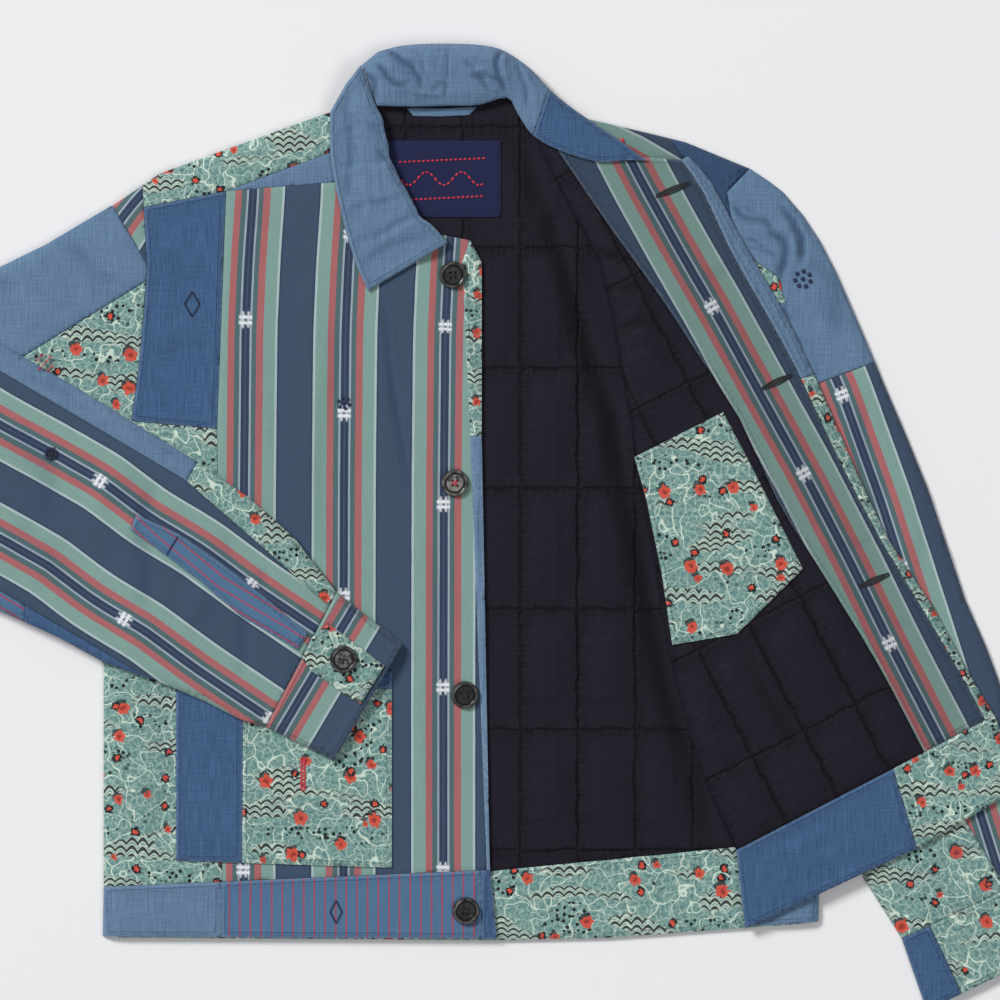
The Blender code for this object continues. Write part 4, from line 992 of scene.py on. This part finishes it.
# a second, smaller kind: black petals round a red heart
small_blossoms = cells(wobbled, 47.0, voronoi_dimensions="2D")
small_value = add(printed, "ShaderNodeSeparateColor", {0: small_blossoms["Color"]}).outputs
small_chosen = calc("GREATER_THAN", small_value[0], 0.66)
for reach, ring_colour in ((0.17, PRINT_BLACK), (0.09, PRINT_BLOSSOM)):
    print_colour = dab(print_colour, calc("LESS_THAN", small_blossoms["Distance"], reach), small_chosen, 1.0,
                       ring_colour)
print_weave = woven(print_place, 0.1)
print_colour = shaded(print_colour, held(print_weave["Shade"], 0.5, 0.58))
feed(printed_out, Color=print_colour, Height=print_weave["Height"])
printed_cloth = patterned("printed_cotton", printed)

PRINTED_PIECES = (
    ("back_hem_facing", SINGLE_WALL, "back_shell"),
    ("front_yoke", FACE_WALL, "back_lining"),
    ("front_side_print", FACE_WALL, "back_lining"),
    ("front_band_print", FACE_WALL, "back_lining"),
    ("pocket_print", SINGLE_WALL, "front_main_stripe"),
    ("right_sleeve_gusset", FACE_WALL, "right_sleeve_under"),
    ("forearm_strip_print", FACE_WALL, "forearm_under"),
    ("cuff_tab", SINGLE_WALL, "right_cuff"),
    ("left_sleeve_gusset", FACE_WALL, "left_sleeve_under"),
    ("left_sleeve_print", FACE_WALL, "left_sleeve_under"),
    ("left_cuff_print", FACE_WALL, "left_sleeve_under"),
    ("left_band_print", SINGLE_WALL, "left_front_shell"),
    ("left_hem_inside_print", SINGLE_WALL, "left_front_shell"),
    ("inner_pocket", SINGLE_WALL, "left_front_lining"),
)
cloth_pieces("printed_cotton", printed_cloth, PRINTED_PIECES)


# Red-striped chambray pieces: the closed front's hem, one strip of the forearm's
# edge and the sleeve placket. Fine red lines 8.5 mm apart on mid blue.
RED_LINE_GAP = 10.65 * PLAN_UNIT
pinned, pinned_in, pinned_out = pattern_group("red_pinstripe")
pin_spot = pinned_in.outputs["Vector"]
pin_across = calc("MULTIPLY_ADD", streaks(pin_spot, (700, 60, 0), 1.0), 0.0006, axes(pin_spot)["X"])
in_line = calc("LESS_THAN", calc("FRACT", calc("DIVIDE", pin_across, RED_LINE_GAP)), 0.15)
pin_weave = woven(pin_spot, 0.35)
pin_depth = held(pin_weave["Shade"], 1.9, -1.35)
pin_colour = blend(pin_depth, linear(66, 96, 130), linear(86, 121, 153))
pin_colour = blend(times(in_line, 0.85), pin_colour, linear(160, 62, 82))
feed(pinned_out, Color=pin_colour, Height=pin_weave["Height"])
PLACKET_WALL = 0.0015
PLACKET_LINE = ((131, 530), (150, 548), (212, 599), (298, 650))
RED_STRIPED_PIECES = (
    ("front_hem_striped", FACE_WALL, "back_hem_facing"),
    ("forearm_edge_stripe", FACE_WALL, "forearm_under", FOREARM_STRIPE),
    ("sleeve_placket", PLACKET_WALL, "forearm_main_stripe", PLACKET_LINE, (-3.0, 0.0)),
)
cloth_pieces("red_striped_chambray", patterned("red_striped_chambray", pinned), RED_STRIPED_PIECES)


# Mid blue chambray pieces: the chest patch, the front hem's end, two parts of the
# pocket, and short lengths of sleeve, cuff, hem and collar. A darker chambray, and
# a deeper one still at the opened front's shoulder.
mid_blue_cloth = chambray("mid_blue_chambray", linear(77, 108, 145), linear(40, 67, 105), 0.9)
indigo_cloth = chambray("indigo_chambray", linear(64, 88, 120), linear(34, 54, 84))
MID_BLUE_PIECES = (
    ("front_chest_patch", FACE_WALL, "back_lining"),
    ("front_hem_end", FACE_WALL, "back_hem_facing"),
    ("pocket_top", SINGLE_WALL, "front_main_stripe"),
    ("pocket_side", SINGLE_WALL, "front_main_stripe"),
    ("forearm_edge_blue", FACE_WALL, "forearm_under"),
    ("left_cuff_blue", FACE_WALL, "left_sleeve_under"),
    ("left_front_side", SINGLE_WALL, "left_front_shell"),
    ("left_hem_inside_blue", SINGLE_WALL, "left_front_shell"),
    ("collar_end", SINGLE_WALL, "collar_fall"),
    ("left_shoulder_blue", FACE_WALL, "back_shell"),
)
cloth_pieces("mid_blue_chambray", mid_blue_cloth, MID_BLUE_PIECES, {"left_shoulder_blue": indigo_cloth})


# Light blue chambray pieces that show: the wedge, band and hem corner of the closed
# front, both sleeve heads, the forearm strip, the opened front's band and hem,
# and the collar.
COLLAR_WALL = 0.0020
LIGHT_BLUE_PIECES = (
    ("front_wedge", FACE_WALL, "back_lining"),
    ("front_band_blue", FACE_WALL, "back_lining"),
    ("front_hem_side", FACE_WALL, "back_hem_facing"),
    ("right_sleeve_cap", FACE_WALL, "right_sleeve_under"),
    ("forearm_strip_blue", FACE_WALL, "forearm_under"),
    ("left_sleeve_cap", FACE_WALL, "left_sleeve_under"),
    ("left_hem_band", SINGLE_WALL, "back_shell"),
    ("left_band_blue", SINGLE_WALL, "left_front_shell"),
    ("collar_leaf", COLLAR_WALL, "collar_fall"),
    ("collar_back", COLLAR_WALL, "back_lining"),
)
cloth_pieces("light_blue_chambray", light_blue_cloth, LIGHT_BLUE_PIECES)


# Buttons: five black four-hole buttons, 22 mm across, with a raised rim. Turned
# from one blank and sewn on with crossed threads, four down the closed front's
# edge and one on the cuff's tab.
BUTTON_RIM = 0.0110
BUTTON_FACE = 0.0066
BUTTON_THICKNESS = 0.0034
FACE_THICKNESS = 0.0021
THREAD_HEIGHT = FACE_THICKNESS + 0.0002
BUTTON_HOLE = 0.00115
HOLE_OUT = 0.0019
plastic, plastic_shader = plain_shader("black_button", Roughness=0.2, Specular_IOR_Level=0.6)
button_tree = plastic.node_tree
cloudy = speckle(add(button_tree, "ShaderNodeTexCoord").outputs["Object"], 260.0, 2.0)
# paler where the mesh says: the face's own grey, and a painted highlight in patches along the rim's crest
pale_and_glint_part = times(mark(button_tree, "pale_and_glint"), held(cloudy, 3.0, -0.9))
feed(plastic_shader, Base_Color=blend(pale_and_glint_part, linear(16, 15, 18), linear(150, 146, 140)))


def thread_of(name, colour):
    """Sewing thread of one colour."""
    return plain_shader(name, Base_Color=colour, Roughness=0.7, Sheen_Weight=0.06)[0]


black_thread = thread_of("black_thread", linear(20, 21, 28))
navy_thread = thread_of("navy_thread", linear(18, 30, 66))
red_thread = thread_of("red_thread", linear(196, 44, 62))


def stitch(bm, start, end, width=0.0006):
    """One stitch of thread between two places: a slim rounded bead, sunk a little at its ends."""
    start, end = Vector(start), Vector(end)
    run = end - start
    laid = run.to_track_quat("X", "Z").to_matrix().to_4x4()
    shape = Matrix.Diagonal((run.length / 2, width / 2, width / 2 * 1.1, 1))
    upright = Matrix.Rotation(math.radians(90), 4, "Y")
    bmesh.ops.create_uvsphere(bm, u_segments=8, v_segments=6, radius=1.0,
                              matrix=Matrix.Translation((start + end) / 2) @ laid @ shape @ upright)


def button_blank(bm):
    """A button lying on z = 0: a pierced face and a turned rim round it."""
    loops = [(0, 0, BUTTON_FACE, 40)]
    loops += [(x, y, BUTTON_HOLE, 12) for x in (-HOLE_OUT, HOLE_OUT) for y in (-HOLE_OUT, HOLE_OUT)]
    for x, y, radius, segments in loops:
        bmesh.ops.create_circle(bm, segments=segments, radius=radius, matrix=Matrix.Translation((x, y, 0)))
    bmesh.ops.triangle_fill(bm, edges=bm.edges[:], use_beauty=True, normal=(0, 0, 1))
    face = bmesh.ops.extrude_face_region(bm, geom=bm.faces[:], use_keep_orig=True)
    top = [part for part in face["geom"] if isinstance(part, bmesh.types.BMVert)]
    bmesh.ops.translate(bm, verts=top, vec=(0, 0, FACE_THICKNESS))
    groove = 0.0013
    outline = [(BUTTON_FACE - 0.0002, 0.0), (BUTTON_FACE - 0.0002, groove), (BUTTON_FACE + 0.0010, groove),
               (BUTTON_FACE + 0.0014, 0.0029), (BUTTON_RIM - 0.0018, BUTTON_THICKNESS),
               (BUTTON_RIM - 0.0009, BUTTON_THICKNESS), (BUTTON_RIM - 0.0002, 0.0024), (BUTTON_RIM, 0.0014),
               (BUTTON_RIM - 0.0007, 0.0)]
    ring = [bm.verts.new((radius, 0, height)) for radius, height in outline]
    edges = [bm.edges.new((ring[index - 1], ring[index])) for index in range(len(ring))]
    bmesh.ops.spin(bm, geom=ring + edges, cent=(0, 0, 0), axis=(0, 0, 1), angle=math.tau, steps=48,
                   use_merge=True)
    bmesh.ops.recalc_face_normals(bm, faces=bm.faces)


# node, turn in degrees, thread, how pale its face is, and how strong the painted highlight on its rim's crest
# is
BUTTONS = (
    ("button_1", 8, black_thread, 0.1, 0.24),
    ("button_2", 0, red_thread, 0.8, 0.5),
    ("button_3", 20, black_thread, 0.06, 0.24),
    ("button_4", -12, black_thread, 0.1, 0.32),
    ("cuff_button", 35, black_thread, 0.55, 0.25),
)
for node, degrees, thread_mat, pale_and_glint_face, pale_and_glint_rim in BUTTONS:
    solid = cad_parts[node]
    spots = np.array([solid.matrix_world @ vertex.co for vertex in solid.data.vertices])
    low, high = spots.min(axis=0), spots.max(axis=0)
    centre = Vector((*(low + high)[:2] / 2, low[2]))
    placed = Matrix.Translation(centre) @ Matrix.Rotation(math.radians(degrees), 4, "Z")
    bm = bmesh.new()
    button_blank(bm)
    pale_and_glint_layer = bm.verts.layers.float.new("pale_and_glint")
    # the face gets its own paleness, the rim's crest its painted highlight
    for vertex in bm.verts:
        if vertex.co.xy.length < BUTTON_FACE - 0.0001 or abs(vertex.co.xy.length - BUTTON_FACE) < 1e-5:
            vertex[pale_and_glint_layer] = pale_and_glint_face
        elif vertex.co.z > BUTTON_THICKNESS - 0.0001:
            vertex[pale_and_glint_layer] = pale_and_glint_rim
    bmesh.ops.transform(bm, matrix=placed, verts=bm.verts)
    button = object_from("made_" + node, bm, plastic)
    smooth_but(button.data, 40)
    finish_piece(button, "black_button", node)
    bm = bmesh.new()
    for x, y in ((HOLE_OUT, HOLE_OUT), (HOLE_OUT, -HOLE_OUT)):
        for shift in (-0.0003, 0.0003):
            stitch(bm, (shift + x, y, THREAD_HEIGHT), (shift - x, -y, THREAD_HEIGHT), 0.0007)
    bmesh.ops.transform(bm, matrix=placed, verts=bm.verts)
    finish_piece(object_from("thread_" + node, bm, thread_mat), "black_button")


# Buttonholes: three on the opened front's facing, worked in close black stitches
# round a slit that gapes a little.
def on_cloth(node, x, y, above=0.0002):
    """The place on top of a cloth piece at a point of the plan."""
    spot = on_plan(x, y, 0.1)
    hit = surfaces[node].ray_cast(spot, Vector((0, 0, -1)))[0]
    return Vector((spot.x, spot.y, (hit.z if hit else 0.01) + above))


def sew(bm, node, start, end, width=0.0006, above=(0.0002, 0.0002)):
    """One stitch on a cloth piece, from one point of the plan to another."""
    stitch(bm, on_cloth(node, *start, above[0]), on_cloth(node, *end, above[1]), width)


# start and end of each slit on the plan
BUTTONHOLES = ((658, 196, 688, 184), (764, 388, 790, 376), (861, 586, 887, 575))
HOLE_STITCH = 1.7
ROUND_HOLE = (0.0004, 0.0001)
bm = bmesh.new()
slit_bm = bmesh.new()
for x0, y0, x1, y1 in BUTTONHOLES:
    run = Vector((x1 - x0, y1 - y0))
    side = Vector((-run.y, run.x)).normalized()
    count = int(run.length / 0.75)
    for index in range(count + 1):
        part = index / count
        gape = 0.4 + 1.5 * math.sin(math.pi * part)
        middle = Vector((x0, y0)) + run * part
        for way in (-1, 1):
            outer = middle + side * (gape + HOLE_STITCH) * way
            sew(bm, "left_front_facing", middle + side * gape * way, outer, 0.0009, ROUND_HOLE)
    for end, way in ((Vector((x0, y0)), -1), (Vector((x1, y1)), 1)):
        for turn in range(-60, 61, 30):
            heading = Matrix.Rotation(math.radians(turn), 2) @ (run.normalized() * way)
            sew(bm, "left_front_facing", end + heading * 0.4, end + heading * 3.0, 0.0007, ROUND_HOLE)
    # a flat dark lens in the slit: painted shade in its gap, as dark as the stitches round it
    middle = on_cloth("left_front_facing", *(Vector((x0, y0)) + run / 2), -0.0001)
    turn = Matrix.Rotation(math.atan2(-run.y, run.x), 4, "Z")
    shape = Matrix.Diagonal((run.length * PLAN_UNIT / 2, HOLE_STITCH * PLAN_UNIT, 0.0006, 1))
    bmesh.ops.create_uvsphere(slit_bm, u_segments=24, v_segments=8, radius=1.0,
                              matrix=Matrix.Translation(middle) @ turn @ shape)
finish_piece(object_from("buttonhole_stitches", bm, black_thread), "black_button")
# the slits' colour is partly painted shade and partly the black of the thread
slit_shade = thread_of("slit_shade", linear(24, 25, 30))
finish_piece(object_from("buttonhole_slits", slit_bm, slit_shade), "black_button")


# Hand embroidery: small diamonds, dot flowers, a chain of red loops, a knot, a bar
# tack and cross stitches in navy, black and red thread, each sewn through its piece.
def sew_line(bm, node, path, pitch, length, width, closed=False):
    """Running stitches along plan points, of a length at a pitch."""
    points = [Vector(point) for point in path]
    if closed:
        points.append(points[0])
    for start, end in zip(points, points[1:]):
        run = end - start
        count = max(1, round(run.length / pitch))
        for index in range(count):
            half = length / pitch / 2
            ends = [start + run * ((index + 0.5 + part) / count) for part in (-half, half)]
            sew(bm, node, *ends, width)


def sew_dots(bm, node, dots, size):
    """Small knots at plan points."""
    for dot in dots:
        for turn in (20, 110):
            reach = Matrix.Rotation(math.radians(turn), 2) @ Vector((size / 2, 0))
            sew(bm, node, Vector(dot) - reach, Vector(dot) + reach, size * 0.62 * PLAN_UNIT, (0.0003, 0.0003))


def ring_of(x, y, radius, count, turn=0.0):
    """Evenly spaced places round a centre."""
    return [(x + radius * math.cos(turn + math.tau * index / count),
             y + radius * math.sin(turn + math.tau * index / count)) for index in range(count)]


navy_work, black_work, red_work = bmesh.new(), bmesh.new(), bmesh.new()
# node, centre, half width, half height
DIAMONDS = (("front_chest_patch", 192, 304, 7.5, 12.5), ("front_hem_striped", 336, 912, 6.0, 11.5))
for node, x, y, half_width, half_height in DIAMONDS:
    shape = [(x, y - half_height), (x + half_width, y), (x, y + half_height), (x - half_width, y)]
    sew_line(navy_work, node, shape, 2.8, 2.6, 0.0017, closed=True)
# node, centre, reach, how many dots round it, size of a dot
DOT_FLOWERS = (("front_main_stripe", 344, 403, 5.5, 6, 4.2), ("left_sleeve_cap", 803, 279, 7.8, 7, 5.0),
               ("forearm_main_stripe", 52, 454, 5.2, 9, 4.4))
for node, x, y, reach, count, size in DOT_FLOWERS:
    sew_dots(navy_work, node, ring_of(x, y, reach, count, 0.3) + [(x, y)], size)
sew_dots(black_work, "forearm_main_stripe", ring_of(52, 454, 2.6, 5), 3.4)
# the chain of loops: its line and top on the plan, how many loops, their pitch, reach and thread
CHAIN_X, CHAIN_TOP, CHAIN_LOOPS, CHAIN_PITCH, CHAIN_REACH, CHAIN_THREAD = 303, 757, 9, 3.6, 2.8, 0.0014
for index in range(CHAIN_LOOPS):
    y = CHAIN_TOP + index * CHAIN_PITCH
    for side in (CHAIN_X - CHAIN_REACH, CHAIN_X + CHAIN_REACH):
        sew(red_work, "pocket_print", (CHAIN_X, y), (side, y + CHAIN_REACH), CHAIN_THREAD)
        sew(red_work, "pocket_print", (side, y + 2.4), (CHAIN_X, y + 5.0), CHAIN_THREAD)
# a block of cross stitches, red and black by turns
CROSS = 1.8
for row in range(4):
    for column in range(4):
        x, y = 37 + column * 4.4 + row * 1.0, 355 + row * 4.6 + column * 0.8
        work = red_work if (row + column) % 2 else black_work
        for lean in (-CROSS, CROSS):
            sew(work, "forearm_strip_blue", (x - CROSS, y + lean), (x + CROSS, y - lean))
sew_line(navy_work, "sleeve_placket", ((180, 534), (166, 557)), 2.6, 2.6, 0.0015)
sew_dots(red_work, "left_shoulder_stripe", ((622, 141),), 6.0)
EMBROIDERY = (("navy_embroidery", navy_work, navy_thread), ("black_embroidery", black_work, black_thread),
              ("red_embroidery", red_work, red_thread))
for work_name, work, mat in EMBROIDERY:
    finish_piece(object_from(work_name, work, mat), "label_cloth")


# Label ornament: three rows of red running stitches sewn through the neck label,
# a wave between two straight lines.
bm = bmesh.new()
LABEL_LEFT, LABEL_TOP, LABEL_RIGHT, LABEL_FOOT = 388, 146, 494, 211
LABEL_MIDDLE = (LABEL_TOP + LABEL_FOOT) / 2
ORNAMENT = (
    ((LABEL_LEFT + 10, LABEL_TOP + 16), (LABEL_RIGHT - 8, LABEL_TOP + 12)),
    [(LABEL_LEFT + 12 + step * 4.2, LABEL_MIDDLE + 7 * math.sin(step * 0.75)) for step in range(21)],
    ((LABEL_LEFT + 12, LABEL_FOOT - 11), (LABEL_RIGHT - 10, LABEL_FOOT - 15)),
)
for row in ORNAMENT:
    sew_line(bm, "neck_label", row, 4.6, 3.3, 0.0017)
finish_piece(object_from("label_stitches", bm, red_thread), "label_cloth")
